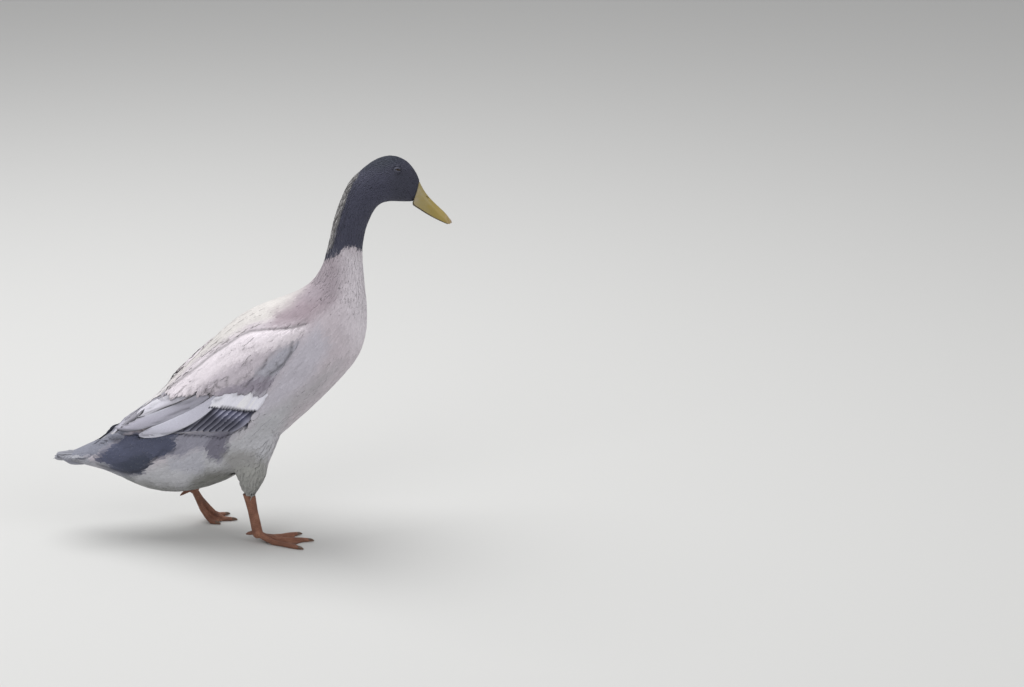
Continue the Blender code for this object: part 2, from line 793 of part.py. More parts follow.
def toe_point(leg, side, length, degrees, t):
    """A point of a toe's middle line, which drops from the ankle and then runs along the floor."""
    ankle_x, ankle_y, ankle_z = leg["ankle"]
    resting = toe_radius(t) * TOE_PRESS
    drop = ankle_z - resting
    settle = SETTLES_AT + LIFT_DELAY * leg["lift"]
    fall = max(1.0 - t / settle, 0.0) ** FALL_BEND
    reach = length * t * math.sqrt(1.0 - (drop / length) ** 2 * leg["lift"])
    angle = math.radians(degrees) * side
    return np.array(
        [
            ankle_x + reach * math.cos(angle),
            side * ankle_y + reach * math.sin(angle),
            resting + drop * fall,
        ]
    )


def web_piece(name, leg, side, first, second, finish, rows=4, columns=4):
    """The skin between two toes, a thin plate with a hollow front edge."""
    bm = bmesh.new()
    faces = []
    for under in (0, 1):
        grid = []
        for r in range(rows):
            row = []
            for c in range(columns):
                across = c / (columns - 1)
                t = (WEB_FROM + WEB_REACH * r / (rows - 1)) * (1 - WEB_HOLLOW * math.sin(math.pi * across))
                a = toe_point(leg, side, first[1], first[2], t)
                b = toe_point(leg, side, second[1], second[2], t)
                middle = a * (1 - across) + b * across
                middle[2] -= WEB_SUNK + (under - 0.5) * WEB_THICKNESS
                row.append(bm.verts.new(middle))
            grid.append(row)
        faces.append(grid)
    top, low = faces
    for r in range(rows - 1):
        for c in range(columns - 1):
            for grid, turn in ((top, 1), (low, -1)):
                corners = (grid[r][c], grid[r][c + 1], grid[r + 1][c + 1], grid[r + 1][c])
                bm.faces.new((corners[0], corners[1], corners[2])[::turn])
                bm.faces.new((corners[0], corners[2], corners[3])[::turn])
    rim = [(r, 0) for r in range(rows)] + [(rows - 1, c) for c in range(1, columns)]
    rim += [(r, columns - 1) for r in range(rows - 2, -1, -1)] + [(0, c) for c in range(columns - 2, 0, -1)]
    for (r, c), (q, d) in zip(rim, rim[1:] + rim[:1]):
        bm.faces.new((top[r][c], top[q][d], low[q][d], low[r][c]))
    return add_object(name, bm, finish)


def build_foot(name, side, leg, finish):
    ankle_x, ankle_y, ankle_z = leg["ankle"]
    centre = (ankle_x, side * ankle_y, ankle_z)
    foot = ball(name, centre, ANKLE_RADIUS, finish, 9, 6)
    pieces = []
    for toe, length, degrees in TOES:
        points = [toe_point(leg, side, length, degrees, t) for t in np.linspace(0.0, 1.0, TOE_STEPS)]
        radii = []
        for k in range(TOE_STEPS):
            knuckle = 1.0 + KNUCKLE * math.cos(math.pi * k)
            radius = toe_radius(k / (TOE_STEPS - 1)) * knuckle
            radii.append((radius, radius))
        pieces.append(tube(f"toe_{toe}", points, radii, TOE_SIDES, finish))
        way = points[-1] - points[-2]
        way /= np.linalg.norm(way)
        low = np.array([0.0, 0.0, -CLAW_DROP])
        claw = [points[-1] - way * CLAW_SET, points[-1] + way * CLAW_LENGTH / 2]
        claw.append(points[-1] + way * CLAW_LENGTH + low)
        pieces.append(tube(f"claw_{toe}", claw, CLAW_RADII, CLAW_SIDES, finish))
    pieces.append(web_piece("web_inner", leg, side, TOES[0], TOES[1], finish))
    pieces.append(web_piece("web_outer", leg, side, TOES[1], TOES[2], finish))
    back = np.array(HIND_STEP) * (1, side, 1)
    hind = [np.array(centre) + back * k + np.array([0, 0, -HIND_DROOP * k * k]) for k in HIND_AT]
    pieces.append(tube("hind_toe", hind, HIND_RADII, CLAW_SIDES, finish))
    fuse(foot, pieces)
    return floor_cut(foot)


def build_leg(word, side, leg, torso, finish_thigh, finish_skin):
    points = [(x, side * y, z) for x, y, z in leg["thigh"]]
    thigh = tube("thigh_" + word, points, leg["thigh_radii"], THIGH_SIDES, finish_thigh)
    foot = build_foot("foot_" + word, side, leg, finish_skin)
    hock = np.array(leg["hock"]) * (1, side, 1)
    ankle = np.array(leg["ankle"]) * (1, side, 1)
    line = [hock + (ankle - hock) * t for t in np.linspace(0.0, 1.0, len(SHANK_RADII))]
    shank = tube("shank_" + word, line, SHANK_RADII, SHANK_SIDES, finish_skin)
    carve(shank, swollen(thigh, GAP))
    carve(shank, swollen(foot, GAP))
    carve(thigh, swollen(torso, GAP))
    carve(shank, swollen(torso, GAP))


def stand_at_origin():
    """Moves every mesh so that the origin lies under the middle of the box round the bird."""
    meshes = [obj.data for obj in bpy.context.scene.objects]
    corners = np.array([vert.co for mesh in meshes for vert in mesh.vertices])
    middle = (corners.min(axis=0) + corners.max(axis=0)) / 2
    for mesh in meshes:
        mesh.transform(Matrix.Translation((-middle[0], -middle[1], 0.0)))


def main():
    clear_scene()
    rng = np.random.default_rng(SEED)
    dark = material("head_slate", (0.05, 0.05, 0.07), 0.55)
    pale = material("body_lilac", (0.46, 0.41, 0.42), 0.75)
    grey = material("wing_mauve", (0.40, 0.34, 0.36), 0.7)
    slate = material("tail_slate", (0.10, 0.10, 0.13), 0.7)
    horn = material("bill_olive", (0.45, 0.32, 0.07), 0.4)
    skin = material("leg_orange", (0.42, 0.13, 0.05), 0.5)
    black = material("eye_black", (0.01, 0.01, 0.01), 0.08)
    build_head(dark)
    build_eyes(black)
    build_bill_upper(horn)
    build_bill_lower(horn)
    neck = body_rings(HEAD_ENDS, NECK_ENDS, NECK_ROWS, HEAD_SIDES, GAP)
    add_object("neck", rings_mesh(neck), pale)
    trunk = body_rings(NECK_ENDS, TORSO_ENDS, TORSO_ROWS, TORSO_SIDES, GAP)
    torso = add_object("torso", rings_mesh(trunk), pale)
    tail = build_tail_core(slate)
    build_wing("wing_right", -1, (torso, tail), grey, rng)
    build_wing("wing_left", 1, (torso, tail), grey, rng)
    build_tail_vanes(tail, slate, rng)
    build_leg("right", -1, NEAR_LEG, torso, pale, skin)
    build_leg("left", 1, FAR_LEG, torso, pale, skin)
    stand_at_origin()


main()
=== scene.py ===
# %% [markdown]
# # An Indian runner drake in mid stride
# A slim, upright duck walks to the right with its neck arched and its bill held low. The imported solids
# already say how big the bird is and where every part of it lies. This lesson dresses them: a soft skin,
# feathers laid over it in the order that a real bird wears them, a horny bill, wet eyes and scaly legs.

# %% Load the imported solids
import math

import bmesh
import bpy
import numpy as np
from mathutils import Matrix, Vector, noise
from mathutils.bvhtree import BVHTree
from mathutils.kdtree import KDTree


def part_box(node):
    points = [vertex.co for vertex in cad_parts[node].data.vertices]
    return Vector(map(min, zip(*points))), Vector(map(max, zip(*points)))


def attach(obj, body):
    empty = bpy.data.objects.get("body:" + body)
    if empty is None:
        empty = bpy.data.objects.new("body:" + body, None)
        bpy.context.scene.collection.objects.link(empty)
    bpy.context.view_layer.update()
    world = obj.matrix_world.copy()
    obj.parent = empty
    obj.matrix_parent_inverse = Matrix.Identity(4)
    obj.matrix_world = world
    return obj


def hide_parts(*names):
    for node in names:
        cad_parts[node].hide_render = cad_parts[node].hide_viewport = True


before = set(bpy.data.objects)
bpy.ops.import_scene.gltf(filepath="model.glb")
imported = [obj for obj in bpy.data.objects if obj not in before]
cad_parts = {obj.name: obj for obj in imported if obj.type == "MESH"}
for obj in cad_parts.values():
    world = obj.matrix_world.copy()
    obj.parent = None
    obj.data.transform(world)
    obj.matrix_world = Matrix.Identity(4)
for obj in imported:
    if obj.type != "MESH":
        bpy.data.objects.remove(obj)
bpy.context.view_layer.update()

rng = np.random.default_rng(11)

# %% [markdown]
# ## Where the picture was taken from
# The picture was taken from the bird's right side by someone standing, with a long lens, so the camera looks
# down a little. Working out that camera first has a second use: a marking that can be pointed at in the
# picture can be followed along its line of sight until it meets the bird.

# %% The camera and its lines of sight
PICTURE_WIDTH = 1024
PICTURE_HEIGHT = 687
FOCAL_PIXELS = 2774.7
SENSOR_MM = 36.0
CAMERA_AT = np.array([0.3026, -3.0762, 1.2090])
CAMERA_DOWN = math.radians(17.59)

LOOK = np.array([0.0, math.cos(CAMERA_DOWN), -math.sin(CAMERA_DOWN)])
RIGHT = np.array([1.0, 0.0, 0.0])
UP = np.cross(RIGHT, LOOK)

lens = bpy.data.cameras.new("camera")
lens.sensor_width = SENSOR_MM
lens.lens = FOCAL_PIXELS / PICTURE_WIDTH * SENSOR_MM
lens.clip_end = 60.0
camera = bpy.data.objects.new("camera", lens)
camera.location = CAMERA_AT
camera.rotation_euler = (math.pi / 2 - CAMERA_DOWN, 0.0, 0.0)
bpy.context.scene.collection.objects.link(camera)
bpy.context.scene.camera = camera


def sight(px, py):
    """The way from the camera through a point of the picture."""
    way = LOOK + RIGHT * (px - PICTURE_WIDTH / 2) / FOCAL_PIXELS - UP * (py - PICTURE_HEIGHT / 2) / FOCAL_PIXELS
    return way / np.linalg.norm(way)


def seen_at(points):
    """Where the picture shows these points, with the left side of the bird folded over on its right side."""
    folded = np.array(points) * (1.0, 0.0, 1.0)
    folded[:, 1] = -np.abs(np.array(points)[:, 1])
    away = folded - CAMERA_AT
    depth = away @ LOOK
    across = PICTURE_WIDTH / 2 + FOCAL_PIXELS * (away @ RIGHT) / depth
    down = PICTURE_HEIGHT / 2 - FOCAL_PIXELS * (away @ UP) / depth
    return np.stack([across, down], axis=1)


print("lens", round(lens.lens, 1), "mm")

# %% [markdown]
# ## A plain studio
# A pale floor and large soft lamps show the shape without hard shadows, much as the bright cloudy day in the
# picture does: most light falls from above, and the belly stays in soft shade.

# %% Floor and lamps


def plain_material(name, colour, roughness):
    made = bpy.data.materials.new(name)
    made.use_nodes = True
    shader = made.node_tree.nodes["Principled BSDF"]
    shader.inputs["Base Color"].default_value = (*colour, 1.0)
    shader.inputs["Roughness"].default_value = roughness
    return made


FLOOR_SIZE = 16.0
bm = bmesh.new()
bmesh.ops.create_grid(bm, x_segments=2, y_segments=2, size=FLOOR_SIZE)
floor_mesh = bpy.data.meshes.new("floor")
bm.to_mesh(floor_mesh)
bm.free()
floor = bpy.data.objects.new("floor", floor_mesh)
floor.data.materials.append(plain_material("studio_floor", (0.60, 0.60, 0.59), 0.9))
bpy.context.scene.collection.objects.link(floor)

WORLD_STRENGTH = 0.50
LAMPS = [
    # Name, place, what it faces, size in metres, power in watts
    ("lamp_sky", (-0.7, 0.6, 2.6), (-0.05, 0.0, 0.2), 2.2, 60.0),
    ("lamp_front", (-1.2, -2.6, 2.2), (0.0, 0.0, 0.25), 2.0, 19.0),
    ("lamp_right", (2.4, -1.2, 1.8), (0.05, 0.0, 0.3), 1.6, 15.0),
]
for name, place, target, size, watts in LAMPS:
    light = bpy.data.lights.new(name, "AREA")
    light.shape = "DISK"
    light.size = size
    light.energy = watts
    lamp = bpy.data.objects.new(name, light)
    lamp.location = place
    lamp.rotation_euler = (Vector(target) - Vector(place)).to_track_quat("-Z", "Y").to_euler()
    bpy.context.scene.collection.objects.link(lamp)

world = bpy.data.worlds.new("studio_air")
world.use_nodes = True
world.node_tree.nodes["Background"].inputs["Color"].default_value = (0.97, 0.97, 0.98, 1.0)
world.node_tree.nodes["Background"].inputs["Strength"].default_value = WORLD_STRENGTH
bpy.context.scene.world = world
bpy.context.scene.view_settings.view_transform = "Standard"
print("lamps:", len(LAMPS))

# %% [markdown]
# ## The line that the bird is strung on
# Feathers lie from head to tail, so everything about them can be told from how far along the bird they
# grow. A row of named places from the bill to the tail carries the sizes: how far apart the feathers stand,
# how long and wide they are and how deep the coat is there. They are tiny on the face and long on the back.

# %% The middle line and the feather sizes along it
# Name, x, z of the middle line in metres, then spacing, length, half width and coat depth in millimetres
SPINE = [
    ("bill_root", 0.1939, 0.4168, 0.78, 2.8, 0.66, 0.45),
    ("eye", 0.1774, 0.4284, 0.82, 3.3, 0.74, 0.60),
    ("crown", 0.1643, 0.4317, 0.88, 4.0, 0.82, 0.75),
    ("hind_crown", 0.1509, 0.4286, 0.95, 4.7, 0.92, 0.85),
    ("nape", 0.1389, 0.4194, 1.06, 5.6, 1.04, 1.00),
    ("upper_neck", 0.1285, 0.4059, 1.14, 6.4, 1.16, 1.10),
    ("neck_arch", 0.1210, 0.3892, 1.22, 7.2, 1.28, 1.20),
    ("mid_neck", 0.1154, 0.3708, 1.32, 8.0, 1.42, 1.30),
    ("lower_neck", 0.1115, 0.3501, 1.44, 9.0, 1.62, 1.40),
    ("neck_foot", 0.1076, 0.3262, 1.62, 10.5, 1.95, 1.60),
    ("crop", 0.1009, 0.3026, 1.86, 11.5, 2.35, 1.80),
    ("shoulder", 0.0914, 0.2835, 2.06, 12.5, 2.65, 2.05),
    ("mantle", 0.0769, 0.2639, 2.20, 13.5, 2.85, 2.20),
    ("breast", 0.0584, 0.2446, 2.30, 14.0, 3.00, 2.35),
    ("wing_bend", 0.0359, 0.2228, 2.40, 14.5, 3.20, 2.45),
    ("back", 0.0113, 0.1980, 2.44, 14.5, 3.30, 2.50),
    ("loin", -0.0141, 0.1737, 2.56, 13.5, 3.40, 2.70),
    ("thigh", -0.0400, 0.1476, 2.56, 13.5, 3.50, 2.70),
    ("hip", -0.0665, 0.1233, 2.56, 14.0, 3.60, 2.60),
    ("abdomen", -0.0936, 0.1071, 2.56, 14.0, 3.60, 2.40),
    ("vent", -0.1196, 0.0968, 2.48, 14.0, 3.60, 2.20),
    ("rump", -0.1431, 0.0928, 2.40, 14.0, 3.60, 2.00),
    ("tail_root", -0.1637, 0.0932, 2.40, 14.0, 3.60, 1.80),
    ("tail_mid", -0.1826, 0.0945, 2.40, 15.0, 3.40, 1.50),
    ("tail_end", -0.2033, 0.0950, 2.30, 15.0, 3.00, 1.30),
    ("tail_tip", -0.2250, 0.0945, 2.00, 11.0, 2.40, 1.00),
]
SPACING, LENGTH, HALF_WIDTH, COAT_DEPTH = 3, 4, 5, 6
spine_points = np.array([(row[1], 0.0, row[2]) for row in SPINE])
spine_steps = np.diff(spine_points, axis=0)
spine_lengths = np.linalg.norm(spine_steps, axis=1)
MILLI = 0.001
FLOW_REACH = 0.004
FLOW_NEARNESS = 5


def along_bird(points):
    """How far along the spine each point lies, in steps of its table, and the distance to it."""
    flat = np.array(points) * (1.0, 0.0, 1.0)
    best = np.full(len(flat), np.inf)
    place = np.zeros(len(flat))
    for k, (start, step, length) in enumerate(zip(spine_points, spine_steps, spine_lengths)):
        share = np.clip(((flat - start) @ step) / length**2, 0.0, 1.0)
        off = np.linalg.norm(flat - start - share[:, None] * step, axis=1)
        closer = off < best
        best = np.where(closer, off, best)
        place = np.where(closer, k + share, place)
    return place, best


def spine_value(place, column):
    return np.interp(place, range(len(SPINE)), [row[column] for row in SPINE])


def flow(points):
    """The way that feathers lie at each point: the tangents of the nearby spine, the nearest ones most."""
    middles = (spine_points[1:] + spine_points[:-1]) / 2
    tangents = spine_steps / spine_lengths[:, None]
    flat = np.array(points) * (1.0, 0.0, 1.0)
    away = np.linalg.norm(flat[:, None, :] - middles[None, :, :], axis=2)
    weight = spine_lengths[None, :] / (away + FLOW_REACH) ** FLOW_NEARNESS
    way = weight @ tangents
    return way / np.linalg.norm(way, axis=1)[:, None]


print("spine", round(float(spine_lengths.sum()), 3), "m long")

# %% [markdown]
# ## Markings as shapes on the bird
# The markings have plain outlines: a dark hood with a ragged edge, a dark rump, a darker patch on the flank,
# darker small feathers low on the wing. A few are painted light and shade: painted shade under the belly, in
# the groin and on the thighs, painted light on the pale top of the back and painted rim light on the nape's
# fringe. Each one is drawn as a few corners in the picture and has a soft edge. Thin dark lines paint the
# shade between groups of feathers and a few dark marks on the wing's small feathers, and one wide line paints
# light on the secondaries below the bar. Both the skin and the feathers ask the same functions for their
# colour, so no gap ever shows white.

# %% Colours and markings


def linear(*srgb):
    """A colour as a screen shows it, 0 to 255, turned to the light that a material needs."""
    share = np.array(srgb, float) / 255.0
    return np.where(share <= 0.04045, share / 12.92, ((share + 0.055) / 1.055) ** 2.4)


LILAC = (199, 190, 197)
MARKINGS = [
    # Name, colour, softness in pixels, corners in the picture
    # Pale feathers on the top of the back, made lighter still by painted light from above
    ("back", (210, 206, 203), 5,
     [(330, 262), (318, 290), (285, 318), (250, 326), (228, 340), (196, 362), (168, 390), (134, 414),
      (100, 437), (80, 430), (150, 370), (230, 300), (300, 262)]),
    ("mantle", (160, 146, 154), 10,
     [(322, 268), (340, 276), (334, 300), (312, 322), (288, 326), (272, 329), (276, 314), (288, 306),
      (304, 292)]),
    ("neck_back", (162, 151, 159), 8,
     [(320, 256), (356, 248), (355, 276), (330, 304), (300, 300), (310, 284)]),
    ("breast_low", (176, 172, 177), 10,
     [(340, 360), (322, 388), (282, 424), (262, 440), (262, 420), (300, 385)]),
    ("side_breast", (192, 188, 198), 8,
     [(318, 325), (330, 345), (310, 380), (285, 400), (262, 420), (250, 415), (272, 385), (286, 364),
      (298, 345)]),
    ("belly", (185, 185, 190), 10,
     [(290, 400), (275, 455), (240, 500), (130, 500), (110, 478), (150, 466), (190, 452), (240, 430),
      (262, 412)]),
    ("wing_top", (228, 220, 226), 5,
     [(306, 326), (288, 330), (251, 332), (240, 337), (231, 343), (198, 364), (169, 394), (196, 392),
      (222, 372), (262, 352), (294, 344)]),
    ("wing_middle", (193, 185, 193), 6,
     [(302, 338), (262, 352), (222, 372), (196, 392), (190, 402), (222, 402), (258, 398), (275, 376),
      (290, 356)]),
    ("wing_front", (175, 174, 185), 5,
     [(300, 340), (281, 346), (262, 366), (250, 384), (262, 392), (274, 378), (288, 360)]),
    ("wing_low", (153, 146, 159), 4,
     [(270, 372), (252, 378), (236, 384), (216, 392), (212, 400), (240, 400), (262, 394), (274, 380)]),
    ("flank", (148, 147, 160), 4,
     [(250, 424), (232, 428), (176, 432), (160, 440), (168, 452), (182, 458), (196, 448), (212, 446),
      (226, 440)]),
    ("flank_patch", (118, 116, 130), 3,
     [(229, 432), (214, 434), (206, 446), (212, 457), (222, 459), (229, 446)]),
    ("flank_light", (177, 177, 186), 4,
     [(206, 448), (196, 450), (184, 458), (172, 456), (170, 468), (206, 472)]),
    ("rump", (79, 83, 104), 3,
     [(98, 460), (106, 450), (118, 441), (132, 433), (150, 430), (176, 434), (180, 444), (168, 456),
      (158, 458), (142, 473), (126, 474), (108, 470)]),
    ("rump_edge", (126, 128, 141), 3,
     [(92, 438), (112, 428), (134, 426), (128, 434), (112, 446), (98, 457), (82, 460), (66, 466), (50, 466),
      (50, 450)]),
    # A narrow stripe of painted light along the top of the back
    ("lit_ridge_stripe", (214, 210, 211), 1.5,
     [(170, 380), (152, 394), (134, 408), (116, 421), (101, 435), (102, 440), (110, 435), (122, 427),
      (140, 414), (157, 401), (172, 389)]),
    ("under_tail", (125, 128, 135), 3,
     [(66, 461), (92, 463), (124, 474), (138, 476), (136, 486), (100, 474)]),
    ("tail_streak", (162, 163, 171), 1.5,
     [(58, 456), (84, 458), (100, 461.5), (114, 466), (112, 468.5), (98, 465), (80, 462), (62, 461)]),
    ("neck_front", (216, 209, 216), 14,
     [(342, 250), (376, 250), (378, 300), (376, 346), (352, 348), (344, 300)]),
    ("hood", (70, 71, 87), 1.2,
     [(316, 266), (329, 259), (339, 253), (344, 247.5), (350, 246), (355, 245.5), (358, 250), (367, 252),
      (430, 252), (470, 200), (430, 130), (300, 130), (290, 262)]),
    ("bar_edge", (188, 185, 196), 2.5,
     [(216, 399), (226, 396), (240, 391), (262, 389), (267, 394), (262, 402), (240, 404), (218, 405)]),
    # Painted shade on the top front of the thigh
    ("thigh_top_shade", (156, 155, 155), 6,
     [(224, 452), (240, 447), (256, 450), (266, 462), (256, 474), (232, 474)]),
    ("rump_low", (60, 65, 82), 4,
     [(118, 464), (134, 458), (150, 452), (156, 458), (143, 473), (128, 474)]),
    ("crown", (54, 58, 70), 7,
     [(366, 150), (402, 152), (404, 164), (380, 170), (362, 170)]),
    # Pale fringe on the raised nape feathers: painted rim light
    ("nape_fringe_rim_light", (136, 134, 134), 1.5,
     [(358, 163), (349, 177), (341, 197), (334, 215), (329, 237), (322, 250), (328, 254), (335, 240),
      (340, 219), (346, 200), (354, 183), (362, 168)]),
    ("belly_shade", (120, 120, 118), 8,
     [(120, 486), (150, 494), (200, 498), (236, 492), (236, 482), (180, 486), (130, 478)]),
    # Painted shade in the groin behind the thigh
    ("groin_shade", (118, 118, 114), 7,
     [(188, 494), (194, 478), (208, 469), (226, 466), (240, 474), (242, 494)]),
    ("thigh_shade", (158, 158, 155), 6,
     [(240, 464), (233, 476), (238, 505), (264, 505), (272, 470), (262, 462)]),
    ("face", (65, 66, 79), 8,
     [(404, 160), (424, 176), (420, 202), (396, 204), (388, 184), (392, 168)]),
]
CREASE_LINES = [
    # Corners in the picture, width in pixels, darkness of the painted shade or dark mark, less than 0 for
    # painted light
    ([(306, 324), (288, 328.5), (270, 329), (251, 331), (240, 335.5), (231, 342), (214, 353)], 1.2, 0.50),
    ([(214, 353), (198, 366), (181, 379), (170, 386.5), (152, 399), (137, 409.5), (115.5, 427.5),
      (104, 437)], 1.2, 0.50),
    ([(292, 342), (291, 352), (283, 364.5), (276, 370), (270, 374)], 1.3, 0.55),
    ([(270, 374), (264, 386), (266, 398), (258, 410)], 1.2, 0.22),
    ([(280, 346), (268, 358), (263, 366), (255, 376)], 1.4, 0.22),
    ([(266, 360), (265, 365), (262, 369)], 0.9, 0.45),
    ([(276, 362), (277, 367), (281, 365)], 0.9, 0.40),
    ([(253, 378), (249, 382), (245, 387), (242, 385)], 1.0, 0.50),
    ([(241, 378), (238, 382), (236, 385)], 1.0, 0.35),
    ([(227.5, 377), (226.5, 381), (227, 386)], 1.0, 0.45),
    ([(220, 388), (216, 386), (214, 382), (217, 380)], 1.1, 0.50),
    ([(211, 384), (206, 386), (205, 391), (209, 394), (213, 391)], 1.1, 0.38),
    ([(191, 388), (188.5, 392), (191, 396)], 1.1, 0.40),
    ([(213, 399), (216, 401), (222, 398)], 1.2, 0.35),
    ([(246, 392), (240, 395), (233, 396)], 1.2, 0.25),
    ([(222, 406.5), (232, 407.5), (243, 410), (256, 411)], 1.0, 0.60),
    # Painted light on the secondaries below the bar
    ([(221, 413), (230, 414), (243, 417)], 5.0, -2.4),
    ([(212.4, 411.5), (203, 419.5), (195.5, 424.8), (184, 429.5), (170, 433), (159, 435),
      (142, 435.5)], 1.1, 0.45),
    ([(193, 406.7), (178, 412), (166, 418), (150, 427), (143, 432)], 1.0, 0.50),
    ([(189.4, 401.8), (166.4, 406), (145.8, 413.3), (134.8, 420), (118, 429)], 1.0, 0.50),
    ([(118, 430), (142, 430.5)], 1.0, 0.50),
    ([(189, 397), (175, 398), (159, 400), (147, 411)], 1.1, 0.35),
    ([(229, 432), (227, 440), (228, 450), (222, 458)], 1.3, 0.30),
    ([(97, 464), (112, 469), (128, 473), (140, 471), (150, 463), (157, 457)], 1.5, 0.45),
    ([(157, 457), (163, 450), (172, 452), (180, 446)], 1.5, 0.30),
    ([(352, 168), (343, 186), (335, 208), (329, 232), (320, 254)], 1.2, 0.30),
    ([(358, 182), (350, 197), (344, 222), (339, 236)], 1.3, 0.25),
    ([(412, 198), (416, 202)], 1.4, 0.35),
]
DARK_LINES = [line for line in CREASE_LINES if line[2] > 0]
NECK_BASE = 0.32


def line_distance(spots, line):
    """How far points of the picture lie from a bent line."""
    nearest = np.full(len(spots), np.inf)
    line = np.array(line, float)
    for start, end in zip(line, line[1:]):
        step = end - start
        share = np.clip(((spots - start) @ step) / (step @ step), 0.0, 1.0)
        nearest = np.minimum(nearest, np.linalg.norm(spots - start - share[:, None] * step, axis=1))
    return nearest


def edge_distance(spots, corners):
    """Signed distance of points in the picture to a polygon's edge, more than 0 inside it."""
    closed = np.array([*corners, corners[0]], float)
    inside = np.zeros(len(spots), bool)
    for start, end in zip(closed, closed[1:]):
        step = end - start
        crosses = (start[1] > spots[:, 1]) != (end[1] > spots[:, 1])
        inside ^= crosses & (spots[:, 0] < start[0] + (spots[:, 1] - start[1]) * step[0] / (step[1] or 1.0))
    nearest = line_distance(spots, closed)
    return np.where(inside, nearest, -nearest)


def off_ridge(points, start, over):
    """0 near the bird's middle plane, rising from start to 1 on its sides."""
    return np.clip((np.abs(np.array(points)[:, 1]) - start) / over, 0.0, 1.0)


def waver(points, size, seed):
    """Smooth noise from -1 to 1 at each point, its waves about size metres long."""
    shift = Vector((seed * 7.3, seed * 3.1, seed * 5.7))
    return np.array([noise.noise(Vector(p) / size + shift) for p in points])


def plumage(points, ragged=2.0):
    """The colour of the plumage at each point of the bird, its edges frayed by some pixels."""
    spots = seen_at(points)
    spots = spots + ragged * np.stack([waver(points, 0.008, 1), waver(points, 0.008, 2)], axis=1)
    colour = np.tile(linear(*LILAC), (len(points), 1))
    for _, shade, softness, corners in MARKINGS:
        share = np.clip(edge_distance(spots, corners) / softness / 2 + 0.5, 0.0, 1.0)
        share = (share * share * (3 - 2 * share))[:, None]
        colour = colour * (1 - share) + linear(*shade) * share
    return colour


def strokes(points, lines=CREASE_LINES):
    """How much light each point keeps where thin dark lines are drawn on the plumage, 1 away from them."""
    spots = seen_at(points)
    light = np.ones(len(points))
    beside = np.where(np.array(points)[:, 2] > NECK_BASE, 1.0, off_ridge(points, 0.008, 0.006))
    for line, width, dark in lines:
        near = line_distance(spots, line)
        light *= 1 - dark * beside * np.exp(-((near / width) ** 2))
    return light


print("markings:", len(MARKINGS), "lines:", len(CREASE_LINES))

# %% [markdown]
# ## One skin
# The solids of the head, neck, trunk, wings and thighs are cut apart where a person would name them. On the
# real bird nothing shows of that, so copies of them are run together by a voxel remesh, smoothed, and drawn in
# by the depth of the coat: what is then built on the skin ends where the solids end. The thin rims of the
# wings' long feathers and the hollow between their ends are smoothed most. Of the tail only the stump is flesh,
# so the skin has rings of corners there instead of the solid's feathers.

# %% Tools for the skin
FLESH = ["head", "neck", "torso", "wing_right", "wing_left", "thigh_right", "thigh_left", "eye_right",
         "eye_left"]
VOXEL = 0.0017
OVERLAP = 0.0004
TAIL_CORE = [
    # x, z of the middle, half width, half height
    (-0.1300, 0.1000, 0.0360, 0.0360),
    (-0.1480, 0.0990, 0.0340, 0.0335),
    (-0.1600, 0.0992, 0.0310, 0.0292),
    (-0.1700, 0.0992, 0.0285, 0.0242),
    (-0.1800, 0.0988, 0.0255, 0.0198),
    (-0.2000, 0.0968, 0.0200, 0.0124),
    (-0.2145, 0.0950, 0.0152, 0.0074),
    (-0.2240, 0.0943, 0.0115, 0.0048),
    (-0.2300, 0.0943, 0.0070, 0.0030),
]
TAIL_CORE_SIDES = 24
THIN = 0.0075
THIN_FADE = 0.004


def finished(obj):
    """Replaces a piece's mesh by what its modifiers make of it."""
    bpy.context.view_layer.update()
    graph = bpy.context.evaluated_depsgraph_get()
    mesh = bpy.data.meshes.new_from_object(obj.evaluated_get(graph))
    obj.modifiers.clear()
    obj.data = mesh
    return obj


def new_object(name, bm, finish=None):
    mesh = bpy.data.meshes.new(name)
    bm.to_mesh(mesh)
    bm.free()
    mesh.shade_smooth()
    obj = bpy.data.objects.new(name, mesh)
    if finish is not None:
        mesh.materials.append(finish)
    bpy.context.scene.collection.objects.link(obj)
    return obj


def tail_core():
    """The fleshy stump that the tail feathers stand in, as rings of corners closed at both ends."""
    bm = bmesh.new()
    rings = []
    for x, z, half_width, half_height in TAIL_CORE:
        turns = np.linspace(0.0, 2 * math.pi, TAIL_CORE_SIDES, endpoint=False)
        ring = [(x, half_width * math.sin(a), z + half_height * math.cos(a)) for a in turns]
        rings.append([bm.verts.new(corner) for corner in ring])
    for ring, after in zip(rings, rings[1:]):
        for k in range(len(ring)):
            bm.faces.new((ring[k - 1], ring[k], after[k], after[k - 1]))
    bm.faces.new(rings[0])
    bm.faces.new(rings[-1])
    bmesh.ops.recalc_face_normals(bm, faces=bm.faces)
    mesh = bpy.data.meshes.new("tail_core")
    bm.to_mesh(mesh)
    bm.free()
    return mesh


def run_together(name, nodes, voxel, overlap, others=()):
    """One closed mesh round copies of several solids, each swollen a little so that they meet."""
    bm = bmesh.new()
    for mesh in others:
        bm.from_mesh(mesh)
    for node in nodes:
        part = bmesh.new()
        part.from_mesh(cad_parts[node].data)
        bmesh.ops.remove_doubles(part, verts=part.verts, dist=1e-6)
        part.normal_update()
        for vert, move in [(vert, vert.normal * overlap) for vert in part.verts]:
            vert.co += move
        copy = bpy.data.meshes.new(node + "_copy")
        part.to_mesh(copy)
        part.free()
        bm.from_mesh(copy)
        bpy.data.meshes.remove(copy)
    obj = new_object(name, bm)
    remesh = obj.modifiers.new("run_together", "REMESH")
    remesh.mode = "VOXEL"
    remesh.voxel_size = voxel
    return finished(obj)


